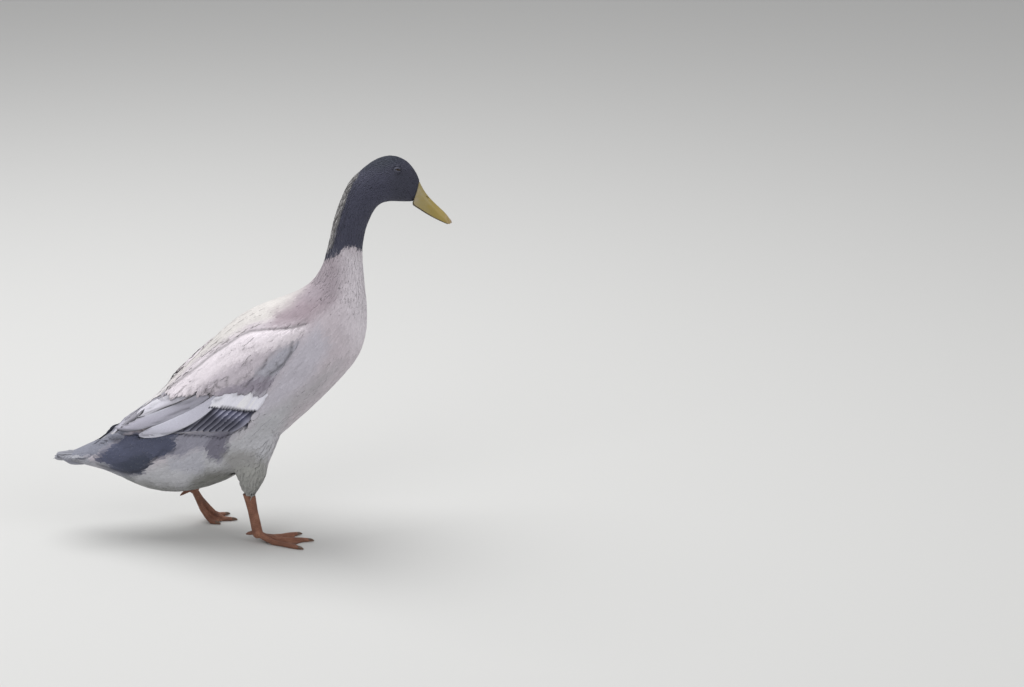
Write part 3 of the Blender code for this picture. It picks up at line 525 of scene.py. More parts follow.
def keep_largest(mesh):
    """Drops all but the island with most corners, such as hollows that the remesh left inside."""
    bm = bmesh.new()
    bm.from_mesh(mesh)
    islands = []
    seen = set()
    for start in bm.verts:
        if start in seen:
            continue
        seen.add(start)
        island = [start]
        for vert in island:
            for edge in vert.link_edges:
                other = edge.other_vert(vert)
                if other not in seen:
                    seen.add(other)
                    island.append(other)
        islands.append(island)
    largest = max(islands, key=len)
    loose = [vert for island in islands if island is not largest for vert in island]
    bmesh.ops.delete(bm, geom=loose, context="VERTS")
    bm.to_mesh(mesh)
    bm.free()


def corner_values(mesh, source, what):
    flat = np.empty(len(mesh.vertices) * 3, np.float32)
    source.foreach_get(what, flat)
    return flat.reshape(-1, 3).astype(float)


def coordinates(mesh):
    return corner_values(mesh, mesh.vertices, "co")


def corner_normals(mesh):
    return corner_values(mesh, mesh.vertex_normals, "vector")


def move_corners(mesh, points):
    mesh.vertices.foreach_set("co", points.astype(np.float32).ravel())
    mesh.update()


def tree_of(*meshes):
    """Meshes sorted so that the nearest place on them, or a hit, is found quickly."""
    points, faces = [], []
    for mesh in meshes:
        start = len(points)
        points += [tuple(p) for p in coordinates(mesh)]
        faces += [tuple(start + k for k in face.vertices) for face in mesh.polygons]
    return BVHTree.FromPolygons(points, faces)


def thin_share(mesh):
    """1 where a piece is thin, as the ends of the wings' long feathers are, fading to 0 round about."""
    points = coordinates(mesh)
    inward = -corner_normals(mesh)
    tree = tree_of(mesh)
    through = [tree.ray_cast(Vector(p + n * 0.0001), Vector(n), THIN)[0] is not None
               for p, n in zip(points, inward)]
    thin = points[np.array(through)]
    near = KDTree(len(thin))
    for k, point in enumerate(thin):
        near.insert(point, k)
    near.balance()
    away = np.array([near.find(p)[2] for p in points])
    print("thin corners", len(thin))
    return np.clip(1.5 - away / THIN_FADE, 0.0, 1.0)


def soften(obj, passes, weights=None):
    """Smooths a piece, everywhere or by a weight for each corner."""
    if weights is not None:
        group = obj.vertex_groups.new(name="soft")
        for k in np.flatnonzero(weights > 0.01):
            group.add([int(k)], float(weights[k]), "REPLACE")
    smooth = obj.modifiers.new("soften", "SMOOTH")
    smooth.factor = 0.5
    smooth.iterations = passes
    smooth.vertex_group = "soft" if weights is not None else ""
    finished(obj)


print("solids of flesh:", len(FLESH))

# %% [markdown]
# ## The folded wing on the skin
# The wing lies snug in the body's feathers, so only its outline tells where it is. Inside that outline the coat
# is a little deeper, and the skin sinks into a shallow crease along the wing's front and top.

# %% Where the wing lies
WING_OUTLINE = [(306, 327), (288, 330), (251, 333), (240, 338), (231, 344), (198, 365), (169, 395), (135, 417),
                (108, 436), (141, 435), (178, 433), (200, 434), (226, 434), (250, 424), (260, 410), (268, 388),
                (281, 366), (296, 347)]
WING_CREASES = [
    [(300, 338), (295, 347), (281, 365), (267, 379), (260, 394)],
    [(309, 323), (288, 328), (251, 331), (240, 335), (231, 341), (198, 363), (169, 393), (135, 416),
     (105, 437)],
]
CREASE_DEPTH = 0.0006
CREASE_WIDTH = 3.0
WING_COAT = 1.2


def crease_share(points):
    """1 on a crease of the plumage and 0 away from it, on the sides of the bird only."""
    spots = seen_at(points)
    near = np.min([line_distance(spots, line) for line in WING_CREASES], axis=0)
    return np.exp(-((near / CREASE_WIDTH) ** 2)) * off_ridge(points, 0.008, 0.01)


def wing_share(points, softness=2.0):
    """1 on the folded wings and 0 elsewhere, with an edge as soft as asked for, in pixels."""
    inside = edge_distance(seen_at(points), WING_OUTLINE)
    return np.clip(inside / softness / 2 + 0.5, 0.0, 1.0) * off_ridge(points, 0.006, 0.006)


print("wing corners:", len(WING_OUTLINE))

# %% The skin
THIN_PASSES = 90
ALL_PASSES = 10
WING_PASSES = 45
HOLLOW_PASSES = 70
LAST_PASSES = 4
TAIL_FROM = -0.125
HOLLOW_FROM = -0.135
HOLLOW_ABOVE = 0.106
THIGH_FRONT = np.array([0.030, -0.038, 0.098])
THIGH_FRONT_SIZE = (0.020, 0.030, 0.026)
THIGH_FRONT_IN = 0.0075
TUCKED_IN = 0.0012
TUCKED_FROM = 11.0

skin = run_together("skin", FLESH, VOXEL, OVERLAP, [tail_core()])
keep_largest(skin.data)
soften(skin, THIN_PASSES, thin_share(skin.data))
soften(skin, ALL_PASSES)
points = coordinates(skin.data)
toward_tail = np.clip((TAIL_FROM - points[:, 0]) / 0.02, 0.0, 1.0)
soften(skin, WING_PASSES, np.maximum(wing_share(points, 9.0), toward_tail))
points = coordinates(skin.data)
hollow = np.clip((HOLLOW_FROM - points[:, 0]) / 0.02, 0.0, 1.0)
hollow *= np.clip((points[:, 2] - HOLLOW_ABOVE) / 0.01, 0.0, 1.0)
soften(skin, HOLLOW_PASSES, hollow)
points = coordinates(skin.data)
off = np.linalg.norm((points - THIGH_FRONT) / THIGH_FRONT_SIZE, axis=1)
points[:, 0] -= THIGH_FRONT_IN * np.exp(-(off**2))
move_corners(skin.data, points)
place, _ = along_bird(points)
depth = spine_value(place, COAT_DEPTH) * MILLI + OVERLAP
depth += WING_COAT * MILLI * wing_share(points, 6.0)
depth += CREASE_DEPTH * crease_share(points)
depth += TUCKED_IN * np.clip((place - TUCKED_FROM) / 3.0, 0.0, 1.0)
move_corners(skin.data, points - corner_normals(skin.data) * depth[:, None])
soften(skin, LAST_PASSES)
skin.data.shade_smooth()
skin_end = float(coordinates(skin.data)[:, 0].min())
print("skin", len(skin.data.vertices), "corners, ends at", round(skin_end, 4))

# %% [markdown]
# ## The way out and the way back on the skin
# A feather is placed by asking the skin two things: where is the nearest spot, and which way is out. The
# legs are asked about too, because feathers on the thigh run down the leg and not towards the tail.

# %% Finding the skin
skin_points = coordinates(skin.data)
skin_faces = [tuple(face.vertices) for face in skin.data.polygons]
skin_tree = tree_of(skin.data)
skin_normals = corner_normals(skin.data)
face_normals = np.array([skin_normals[list(face)].mean(axis=0) for face in skin_faces])
face_normals /= np.linalg.norm(face_normals, axis=1)[:, None]


def on_skin(points):
    """The nearest place on the skin to each point, and the way out of the skin there."""
    found = [skin_tree.find_nearest(p) for p in points.tolist()]
    return np.array([tuple(f[0]) for f in found]), face_normals[[f[2] for f in found]]


def sighted(px, py):
    """Where the line of sight through a point of the picture first meets the skin, or passes nearest."""
    way = sight(px, py)
    hit, _, face, _ = skin_tree.ray_cast(Vector(CAMERA_AT), Vector(way))
    if hit is None:
        reach = -CAMERA_AT[1] / way[1]
        hit, _, face, _ = skin_tree.find_nearest(Vector(CAMERA_AT + way * reach))
    return np.array(hit), face_normals[face]


THIGH_LINES = [
    # Top and foot of each thigh's middle line
    ((0.0029, -0.030, 0.120), (-0.0056, -0.0345, 0.058)),
    ((-0.0331, 0.030, 0.116), (-0.0551, 0.0351, 0.062)),
]
THIGH_REACH = 0.021
THIGH_FADE = 0.006
THIGH_STARTS = (0.104, 0.080)


def thigh_share(points):
    """How far each point belongs to a thigh, and the way down that thigh."""
    share = np.zeros(len(points))
    way = np.zeros((len(points), 3))
    for top, end in THIGH_LINES:
        top, end = np.array(top), np.array(end)
        step = end - top
        along = np.clip(((points - top) @ step) / (step @ step), 0.0, 1.0)
        off = np.linalg.norm(points - top - along[:, None] * step, axis=1)
        low = np.clip((THIGH_STARTS[0] - points[:, 2]) / (THIGH_STARTS[0] - THIGH_STARTS[1]), 0.0, 1.0)
        near = low * np.clip((THIGH_REACH - off) / THIGH_FADE, 0.0, 1.0)
        way = np.where((near > share)[:, None], step / np.linalg.norm(step), way)
        share = np.maximum(share, near)
    return share, way


def unit(vectors):
    return vectors / np.maximum(np.linalg.norm(vectors, axis=-1, keepdims=True), 1e-9)


def lie(points, normals):
    """The way that feathers lie at each point, along the skin."""
    share, down = thigh_share(points)
    way = flow(points) * (1 - share[:, None]) + down * share[:, None]
    return unit(way - normals * (way * normals).sum(axis=1, keepdims=True))


SPINE_TOTAL = len(SPINE) - 1
MARGIN = 0.02
TRUNK_SPAN = 0.82
THIGH_SHELF = 0.86


def chart(points):
    """Where each point lies on an unwrap of the skin: along the bird, and round it from the belly. The two
    thighs have shelves of their own beside the trunk."""
    place, _ = along_bird(points)
    centre_x = np.interp(place, range(len(SPINE)), spine_points[:, 0])
    centre_z = np.interp(place, range(len(SPINE)), spine_points[:, 2])
    middles = np.arange(SPINE_TOTAL) + 0.5
    tangent = unit(np.stack([np.interp(place, middles, spine_steps[:, k]) for k in (0, 2)], axis=1))
    up = (points[:, 0] - centre_x) * tangent[:, 1] - (points[:, 2] - centre_z) * tangent[:, 0]
    turn = np.arctan2(points[:, 1], up) / (2 * math.pi) + 0.5
    share, _ = thigh_share(points)
    left = points[:, 1] > 0
    shelf = THIGH_SHELF + 0.07 * left + 0.06 * np.clip((0.11 - points[:, 2]) / 0.06, 0.0, 1.0)
    along = MARGIN + (1 - 2 * MARGIN) * place / SPINE_TOTAL
    return np.stack([along, np.where(share > 0.5, shelf, MARGIN + TRUNK_SPAN * turn)], axis=1)


def paint(mesh, name, colours):
    """Keeps a colour for each corner of a mesh."""
    layer = mesh.attributes.new(name, "FLOAT_COLOR", "POINT")
    whole = np.ones((len(colours), 4), np.float32)
    whole[:, :3] = colours
    layer.data.foreach_set("color", whole.ravel())


def unwrap(mesh, name, spots):
    """Keeps a flat map of a mesh, from one spot for each corner."""
    layer = mesh.uv_layers.new(name=name)
    order = np.empty(len(mesh.loops), np.int32)
    mesh.loops.foreach_get("vertex_index", order)
    layer.data.foreach_set("uv", spots[order].astype(np.float32).ravel())


print("skin faces", len(skin_faces))

# %% [markdown]
# ## Feather vanes, many at once
# A small feather is a thin leaf: narrow at its root, full in the middle, with a rounded or frayed tip, a little
# raised along its shaft. Thousands of them share one pattern of faces, so arrays are the quickest way to make
# them: a grid of corners for the top of each leaf, and one row below it that closes the underside.

# %% Making a coat of vanes


def vane_faces(rows, across):
    """The faces of one closed vane: its top, its underside in two strips and both its ends, and which of
    them lie below the top."""
    line = across + 1
    faces = []
    for r in range(rows - 1):
        a, b = r * line, (r + 1) * line
        faces += [(a + c, a + c + 1, b + c + 1, b + c) for c in range(across - 1)]
        faces += [(a, b, b + across, a + across), (a + across, b + across, b + across - 1, a + across - 1)]
    last = (rows - 1) * line
    faces += [(c, c - 1, c - 2, across) for c in range(across - 1, 0, -2)]
    faces += [(last + c, last + c + 1, last + c + 2, last + across) for c in range(0, across - 1, 2)]
    hidden = ([False] * (across - 1) + [True] * 2) * (rows - 1)
    hidden += [True] * (len(faces) - len(hidden))
    return np.array(faces), np.array(hidden)


def vane_piece(name, corners, colours, barbs, spots, finish):
    """One piece from arrays of vanes: places, colours and flat maps for each row and each corner across."""
    count, rows, line, _ = corners.shape
    faces, hidden = vane_faces(rows, line - 1)
    order = (np.arange(count)[:, None, None] * rows * line + faces[None]).reshape(-1)
    mesh = bpy.data.meshes.new(name)
    mesh.vertices.add(count * rows * line)
    mesh.vertices.foreach_set("co", corners.astype(np.float32).ravel())
    mesh.loops.add(len(order))
    mesh.loops.foreach_set("vertex_index", order.astype(np.int32))
    mesh.polygons.add(len(order) // 4)
    mesh.polygons.foreach_set("loop_start", np.arange(0, len(order), 4, dtype=np.int32))
    mesh.update(calc_edges=True)
    mesh.validate()
    mesh.shade_smooth()
    flat = mesh.attributes.get("sharp_face") or mesh.attributes.new("sharp_face", "BOOLEAN", "FACE")
    flat.data.foreach_set("value", np.tile(hidden, count))
    unwrap(mesh, "Barbs", barbs.reshape(-1, 2))
    unwrap(mesh, "OFBake", spots.reshape(-1, 2))
    paint(mesh, "Coat", colours.reshape(-1, 3))
    mesh.materials.append(finish)
    obj = bpy.data.objects.new(name, mesh)
    bpy.context.scene.collection.objects.link(obj)
    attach(obj, "root")
    triangles = count * len(faces) * 2
    print(f"{name}: {count} feathers, {triangles} triangles")
    return obj


BAKE_PATCH = 0.003


def vane_spots(roots, rows, across):
    """A small square of the skin's map for each vane, round the spot of its root."""
    grid = np.zeros((rows, across + 1, 2))
    grid[:, :across, 0] = np.linspace(-0.5, 0.5, across)[None]
    grid[:, :, 1] = np.linspace(-0.5, 0.5, rows)[:, None]
    return chart(roots)[:, None, None, :] + grid[None] * BAKE_PATCH


print("faces of a vane of 6 rows:", len(vane_faces(6, 5)[0]))

# %% [markdown]
# ## One small feather, many times over
# A small feather is rooted in the skin, rises to the height of the coat and then follows the skin row by row,
# each row a step further along the lie. Past the tail's end and over sharp rims it goes straight on, as a stiff
# vane does. Its rims hang a little lower than its shaft, and its tip is frayed.

# %% Laying small feathers on the skin
ROUNDED = [(0.0, 0.40), (0.24, 0.78), (0.52, 1.0), (0.76, 0.93), (0.92, 0.62), (1.0, 0.24)]
POINTED = [(0.0, 0.45), (0.30, 0.90), (0.60, 0.95), (0.84, 0.62), (1.0, 0.16)]
FREE_END = 0.016
SETTLED = 0.91
STIFF = 0.35
SWAY = math.radians(6.0)
FRAY = 0.07
SUNK = 0.3
RIM_LIGHT = 1.03
LEAST_GIRTH = 0.012
MOTTLE_SIZE = 0.016
NAPE_FRINGE = next(corners for name, _, _, corners in MARKINGS if name == "nape_fringe_rim_light")


def nape_share(points):
    """1 on the unkempt fringe of the nape, where feathers stand up and differ in tone."""
    return np.clip(edge_distance(seen_at(points), NAPE_FRINGE) / 1.5 + 0.5, 0.0, 1.0)


def laid_rows(points, normals, lengths, yaw, outline):
    """For each row of each feather its place on the skin, the way out there and the way across."""
    centres, outs, sides = [], [], []
    for r, (t, _) in enumerate(outline):
        if r:
            stride = lengths * (t - outline[r - 1][0])
            ahead, facing = on_skin(points + ways * stride[:, None])
            last = np.clip((skin_end + FREE_END - ahead[:, 0]) / FREE_END, 0.0, 1.0)
            facing = unit(facing * np.stack([1 - last, np.ones(len(last)), np.ones(len(last))], axis=1))
            moved = np.linalg.norm(ahead - points, axis=1)
            free = (moved < 0.85 * stride) & (points[:, 0] < skin_end + FREE_END)
            free |= (points[:, 0] < skin_end + 0.001) | ((facing * outs[0]).sum(axis=1) < STIFF)
            points = np.where(free[:, None], points + ways * stride[:, None], ahead)
            normals = np.where(free[:, None], normals, facing)
        lying = lie(points, normals)
        lying = unit(lying * np.cos(yaw)[:, None] + np.cross(lying, normals) * np.sin(yaw)[:, None])
        ways = np.where(free[:, None], ways, lying) if r else lying
        centres.append(points)
        outs.append(normals)
        sides.append(np.cross(ways, normals))
        yaw = yaw * 0.8
    return [np.stack(rows_of, axis=1) for rows_of in (centres, outs, sides)]


def coat_piece(name, roots, finish, outline, across, sizes, lifts, ragged, dip, thick):
    """Small feathers on the skin: sizes are length and half width, lifts the height of each tip. The dip of
    the rims and the thickness are in millimetres, the fray of the markings in pixels."""
    count, rows = len(roots), len(outline)
    lengths, widths = sizes
    points, normals = on_skin(roots)
    rough = nape_share(points)
    yaw = rng.normal(0.0, SWAY, count) * (1 + 1.5 * rough)
    lifts = lifts + rough * rng.uniform(0.0, 0.9, count) * MILLI
    centres, outs, sides = laid_rows(points, normals, lengths, yaw, outline)
    ts = np.array([t for t, _ in outline])
    shares = np.array([w for _, w in outline])
    us = np.linspace(-1.0, 1.0, across)
    _, girth = along_bird(centres[:, 0])
    half = widths[:, None] * shares[None]
    bow = np.clip((ts[None] - 0.62) / 0.38, 0.0, 1.0) ** 2
    up = np.where(ts > 0.0, SETTLED + (1.0 - SETTLED) * ts, 0.0)
    heights = lifts[:, None] * up[None] - MILLI * (SUNK * (ts[None] == 0.0) + dip * bow)
    drop = (half**2 / (2 * np.maximum(girth, LEAST_GIRTH))[:, None])[:, :, None] * us**2
    drop = drop + dip * MILLI * np.abs(us) ** 2 * np.ones((count, rows, 1))
    top = centres[:, :, None] + sides[:, :, None] * (half[:, :, None] * us)[..., None]
    top = top + outs[:, :, None] * (heights[:, :, None] - drop)[..., None]
    tips = unit(centres[:, -1] - centres[:, -2])
    shift = (rng.normal(0.0, FRAY, (count, 1, across)) * lengths[:, None, None]) * (ts**6)[None, :, None]
    top = top + tips[:, None, None] * shift[..., None]
    low = centres + outs * (heights - (dip + thick) * MILLI)[..., None]
    corners = np.concatenate([top, low[:, :, None]], axis=2)
    aims = centres[:, min(2, rows - 1)]
    rough = nape_share(aims)
    mottle = waver(aims, MOTTLE_SIZE, 3) * 0.035 + rng.normal(0.0, 1.0, count) * (0.04 + 0.30 * rough)
    shade = plumage(aims, ragged) * np.exp(mottle)[:, None]
    # Each feather darker towards its root: partly the grey of its down, partly painted shade under the feathers
    # above
    along = 0.90 + 0.11 * ts[None, :, None]
    rims = np.concatenate([np.abs(us) ** 3, [0.0]])[None, None] * np.ones((1, rows, 1))
    edge = np.maximum(1.0 + (RIM_LIGHT - 1.0) * rims, 1.0 + (RIM_LIGHT - 1.0) * (ts[None, :, None] ** 5))
    light = strokes(corners.reshape(-1, 3)).reshape(corners.shape[:3])
    colours = shade[:, None, None] * (along * edge * light)[..., None]
    barbs = np.zeros((count, rows, across + 1, 2))
    barbs[:, :, :across, 0] = half[:, :, None] * us / MILLI
    barbs[..., 1] = (lengths[:, None] * ts[None])[..., None] / MILLI
    barbs += rng.uniform(0.0, 40.0, (count, 1, 1, 1)) * (0.0, 1.0)
    return vane_piece(name, corners, colours, barbs, vane_spots(roots, rows, across), finish)


print("rows of a rounded feather", len(ROUNDED), "and of a pointed one", len(POINTED))

# %% [markdown]
# ## Feather material
# A feather's vane is made of fine barbs that slant from the shaft to the rim, so light catches it in fine
# slanting lines. The vane's own map gives the millimetres across and along it, which draws those lines and the
# shaft. The colour comes from the markings kept on each corner, with soft streaks along the barbs.

# %% The barbs group and the coat materials
SHAFT_WIDTH = 0.12
BARB_HEIGHT = 0.35


def maths(tree):
    """A short way to add maths to one node tree. Each value is a number or another node's output."""

    def calculate(operation, *values):
        node = tree.nodes.new("ShaderNodeMath")
        node.operation = operation
        for socket, value in zip(node.inputs, values):
            if isinstance(value, (int, float)):
                socket.default_value = value
            else:
                tree.links.new(value, socket)
        return node.outputs[0]

    return calculate


def scaled_by(tree, vector, factor):
    """A vector or colour times a number, as a node."""
    node = tree.nodes.new("ShaderNodeVectorMath")
    node.operation = "SCALE"
    tree.links.new(vector, node.inputs[0])
    tree.links.new(factor, node.inputs["Scale"])
    return node.outputs[0]


def noise_node(tree, scale, detail=3.0, source=None):
    """Noise over the piece's own space, or over another vector."""
    made = tree.nodes.new("ShaderNodeTexNoise")
    made.inputs["Scale"].default_value = scale
    made.inputs["Detail"].default_value = detail
    if source is None:
        source = tree.nodes.new("ShaderNodeTexCoord").outputs["Object"]
    tree.links.new(source, made.inputs["Vector"])
    return made.outputs["Fac"]


def bump_node(tree, shader, height, strength, distance):
    bump = tree.nodes.new("ShaderNodeBump")
    bump.inputs["Strength"].default_value = strength
    bump.inputs["Distance"].default_value = distance
    tree.links.new(height, bump.inputs["Height"])
    tree.links.new(bump.outputs["Normal"], shader.inputs["Normal"])


def new_group(name, inputs, outputs):
    """A shader node group with named sockets, and the nodes at both its ends."""
    group = bpy.data.node_groups.new(name, "ShaderNodeTree")
    for label, kind, value in inputs:
        socket = group.interface.new_socket(name=label, in_out="INPUT", socket_type=kind)
        if value is not None:
            socket.default_value = value
    for label in outputs:
        group.interface.new_socket(name=label, in_out="OUTPUT", socket_type="NodeSocketFloat")
    return group, group.nodes.new("NodeGroupInput"), group.nodes.new("NodeGroupOutput")


barb_group, inward, outward = new_group(
    "barbs",
    [("Vane", "NodeSocketVector", None), ("Barbs per mm", "NodeSocketFloat", 2.2),
     ("Streak", "NodeSocketFloat", 0.25)],
    ["Height", "Shade"])
calc = maths(barb_group)
split = barb_group.nodes.new("ShaderNodeSeparateXYZ")
barb_group.links.new(inward.outputs["Vane"], split.inputs[0])
aside = calc("ABSOLUTE", split.outputs[0])
slant = calc("SUBTRACT", split.outputs[1], aside)
turns = calc("MULTIPLY", slant, inward.outputs["Barbs per mm"])
wave = calc("SINE", calc("MULTIPLY", turns, 2 * math.pi))
shaft = calc("LESS_THAN", aside, SHAFT_WIDTH)
barb_group.links.new(calc("ADD", calc("MULTIPLY", wave, BARB_HEIGHT), shaft), outward.inputs["Height"])
spread = barb_group.nodes.new("ShaderNodeCombineXYZ")
barb_group.links.new(calc("MULTIPLY", split.outputs[0], 1.4), spread.inputs[0])
barb_group.links.new(calc("MULTIPLY", slant, 0.35), spread.inputs[1])
streaks = noise_node(barb_group, 1.0, 3.0, spread.outputs[0])
shade = calc("MULTIPLY", calc("SUBTRACT", streaks, 0.5), inward.outputs["Streak"])
barb_group.links.new(calc("ADD", calc("MULTIPLY", shade, 2.0), 1.0), outward.inputs["Shade"])


def coat_material(name, roughness, sheen, barbs_per_mm, streak, specular=0.3):
    made = bpy.data.materials.new(name)
    made.use_nodes = True
    tree = made.node_tree
    shader = tree.nodes["Principled BSDF"]
    shader.inputs["Roughness"].default_value = roughness
    shader.inputs["Specular IOR Level"].default_value = specular
    shader.inputs["Sheen Weight"].default_value = sheen
    shader.inputs["Sheen Roughness"].default_value = 0.5
    colour = tree.nodes.new("ShaderNodeAttribute")
    colour.attribute_name = "Coat"
    vane = tree.nodes.new("ShaderNodeUVMap")
    vane.uv_map = "Barbs"
    barbs = tree.nodes.new("ShaderNodeGroup")
    barbs.node_tree = barb_group
    barbs.inputs["Barbs per mm"].default_value = barbs_per_mm
    barbs.inputs["Streak"].default_value = streak
    tree.links.new(vane.outputs["UV"], barbs.inputs["Vane"])
    tint = scaled_by(tree, colour.outputs["Color"], barbs.outputs["Shade"])
    tree.links.new(tint, shader.inputs["Base Color"])
    bump_node(tree, shader, barbs.outputs["Height"], 0.35, 0.0001)
    return made


soft_coat = coat_material("soft_body_feathers", 0.72, 0.15, 2.0, 0.22)
dark_coat = coat_material("short_hood_feathers", 0.62, 0.0, 3.0, 0.30, specular=0.25)
vane_coat = coat_material("firm_flight_feathers", 0.60, 0.05, 1.6, 0.18, specular=0.25)
print("feather materials: 3")

# %% [markdown]
# ## The skin's own colour
# Where two feathers part, the skin shows. It carries the same markings, only a little darker, as down does in
# the shade of the feathers above it.

# %% Painting the skin
DOWN_SHADE = 0.90
SKIN_BARBS = 400.0
skin_colour = plumage(skin_points) * strokes(skin_points)[:, None] * DOWN_SHADE
paint(skin.data, "Coat", skin_colour)
unwrap(skin.data, "OFBake", chart(skin_points))
unwrap(skin.data, "Barbs", chart(skin_points) * SKIN_BARBS)
skin.data.materials.clear()
skin.data.materials.append(soft_coat)
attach(skin, "root")
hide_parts("head", "neck", "torso", "thigh_right", "thigh_left")

# %% [markdown]
# ## Long feathers of the folded wing
# On the folded wing each long feather can be told apart, so each one has its own place: where its shaft starts
# and ends in the picture, how it bends and how wide it is. Every corner of its vane follows its line of sight
# to the skin and is then lifted by the height of its layer. The left wing is the same wing mirrored.

# %% Making long feathers
ACROSS = np.array([-1.0, -0.88, -0.62, -0.32, 0.0, 0.32, 0.62, 0.88, 1.0])
SHAFT = len(ACROSS) // 2
BLADE_SHARES = [(0.0, 0.62), (0.14, 0.80), (0.32, 0.94), (0.52, 1.0), (0.70, 0.98), (0.84, 0.84), (0.94, 0.56),
                (1.0, 0.20)]
BLADE_ROWS = 13
BLADE_TS = 1 - (1 - np.linspace(0.0, 1.0, BLADE_ROWS)) ** 1.25
BLADE_WIDTHS = np.array([float(np.interp(t, *zip(*BLADE_SHARES))) for t in BLADE_TS])
PIXEL_SIZE = 1.0 / 859.8
BLADE_THICK = 0.00028
BLADE_ARCH = 0.00035
SHAFT_RIDGE = 0.00012
DARK_TIP = 0.91
BRIGHTEST = 0.93


def blade_shades(centre, upper, lower, inner=0.5, tip=None):
    """Colours across a vane from its lower rim to its upper one, for each row along it."""
    share = np.clip((np.abs(ACROSS) - inner) / (1 - inner), 0.0, 1.0)[:, None] ** 1.3
    rims = np.where((ACROSS > 0)[:, None], upper, lower)
    across = np.concatenate([centre * (1 - share) + rims * share, [centre * 0.8]])
    # A little darker towards the root: partly the feather's own base, partly painted shade under the feathers
    # above
    rows = across[None] * (0.94 + 0.08 * BLADE_TS)[:, None, None]
    if tip is not None:
        end = np.clip((BLADE_TS - DARK_TIP) / 0.05, 0.0, 1.0)[:, None, None]
        rows = rows * (1 - end) + tip * end
    return rows


def blade_barbs(half, length):
    """The flat map of a long vane: metres across and along it, turned to millimetres."""
    flat = np.zeros((BLADE_ROWS, len(ACROSS) + 1, 2))
    flat[:, :-1, 0] = half * ACROSS / MILLI
    flat[..., 1] = (BLADE_TS * length / MILLI)[:, None]
    return flat


def mirrored(corners, colours, barbs):
    """The same vanes on the left side, with their corners in the other order so that they face outwards."""
    order = list(range(corners.shape[2] - 2, -1, -1)) + [corners.shape[2] - 1]
    return corners[:, :, order] * (1.0, -1.0, 1.0), colours[:, :, order], barbs[:, :, order]


def blades(name, rows, inner=0.5, end_shade=None, lines=CREASE_LINES):
    """Long feathers on both wings. A row has the shaft's ends in the picture, its bend as a share of its
    length, half its width in pixels, its height at both ends in millimetres, and three colours."""
    corners, colours, barbs = [], [], []
    for root, tip, bend, half, low, high, centre, upper, lower in rows:
        root, tip = np.array(root, float), np.array(tip, float)
        step = tip - root
        length = np.linalg.norm(step)
        aside = np.array([-step[1], step[0]]) / length
        bow = bend * length * 4 * BLADE_TS * (1 - BLADE_TS)
        path = root + step * BLADE_TS[:, None] + aside * bow[:, None]
        widths = half * BLADE_WIDTHS[:, None]
        spots = path[:, None] + aside * (widths * ACROSS)[..., None]
        found = [[sighted(*spot) for spot in row] for row in spots]
        at = np.array([[f[0] for f in row] for row in found])
        out = unit(np.array([[f[1] for f in row] for row in found]).mean(axis=1))
        height = (low + (high - low) * np.minimum(BLADE_TS * 1.6, 1.0)) * MILLI
        lift = height[:, None] - BLADE_ARCH * np.abs(ACROSS) ** 2 + SHAFT_RIDGE * (ACROSS == 0)
        top = at + out[:, None] * lift[..., None]
        under = at[:, SHAFT] + out * (height - BLADE_THICK)[:, None]
        corners.append(np.concatenate([top, under[:, None]], axis=1))
        light = strokes(corners[-1].reshape(-1, 3), lines).reshape(corners[-1].shape[:2])
        shades = blade_shades(centre, upper, lower, inner, end_shade) * light[..., None]
        colours.append(np.minimum(shades, BRIGHTEST))
        barbs.append(blade_barbs(widths * PIXEL_SIZE, length * PIXEL_SIZE))
    right = [np.array(arrays) for arrays in (corners, colours, barbs)]
    made = []
    for side, arrays in (("right", right), ("left", mirrored(*right))):
        spots = vane_spots(arrays[0][:, 0, SHAFT], BLADE_ROWS, len(ACROSS))
        piece = vane_piece(f"{name}_{side}", *arrays, spots, vane_coat)
        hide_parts(f"wing_{side}")
        made.append(piece)
    return made


def row_between(first, last, count, bend, half, low, high, shades, sway=0.0):
    """A row of like feathers between the first and the last, each given by both ends of its shaft."""
    rows = []
    for f in np.linspace(0.0, 1.0, count):
        ends = [np.array(a) * (1 - f) + np.array(b) * f + rng.normal(0.0, sway, 2) for a, b in zip(first, last)]
        tone = 1 + rng.normal(0.0, 0.04)
        rows.append((*ends, bend, half, low + 0.35 * f, high + 0.35 * f, *[shade * tone for shade in shades]))
    return rows


print("a long feather has", BLADE_ROWS, "rows of", len(ACROSS), "corners")

# %% The wing's long feathers
INK = linear(42, 43, 58)
SLATE = linear(84, 84, 98)
primaries = row_between(((248, 425), (168, 432.5)), ((240, 421), (150, 430)), 3, 0.02, 3.2, 0.8, 1.1,
                        (SLATE, SLATE, linear(205, 204, 212)))
secondaries = row_between(((260, 405.5), (228.5, 431.0)), ((219, 400.0), (184, 430.5)), 8, -0.02, 4.4, 1.2, 1.7,
                          (INK, INK, linear(150, 150, 166)), 0.2)
bar = row_between(((273, 387), (254, 411.5)), ((234, 386), (209, 407.5)), 17, 0.03, 3.2, 1.9, 2.7,
                  (linear(238, 237, 248), linear(240, 239, 249), linear(228, 227, 238)), 0.3)
tertials = [
    ((181, 386), (122, 425), 0.02, 4.2, 1.6, 2.2,
     linear(160, 158, 168), linear(136, 134, 144), linear(184, 182, 192)),
    ((196, 391), (137, 417.5), 0.03, 5.4, 2.0, 2.5,
     linear(206, 204, 214), linear(220, 218, 226), linear(190, 188, 198)),
    ((208, 393), (117, 429.5), -0.055, 6.6, 2.4, 2.9,
     linear(172, 170, 183), linear(180, 180, 190), linear(168, 168, 180)),
    ((220, 396), (140.5, 434.5), -0.075, 6.8, 2.8, 3.3,
     linear(204, 203, 217), linear(200, 199, 212), linear(214, 214, 226)),
]
long_vanes = blades("primaries", primaries)
long_vanes += blades("secondaries", secondaries, -0.25)
long_vanes += blades("bar_coverts", bar, 0.5, INK, DARK_LINES)
long_vanes += blades("tertials", tertials)

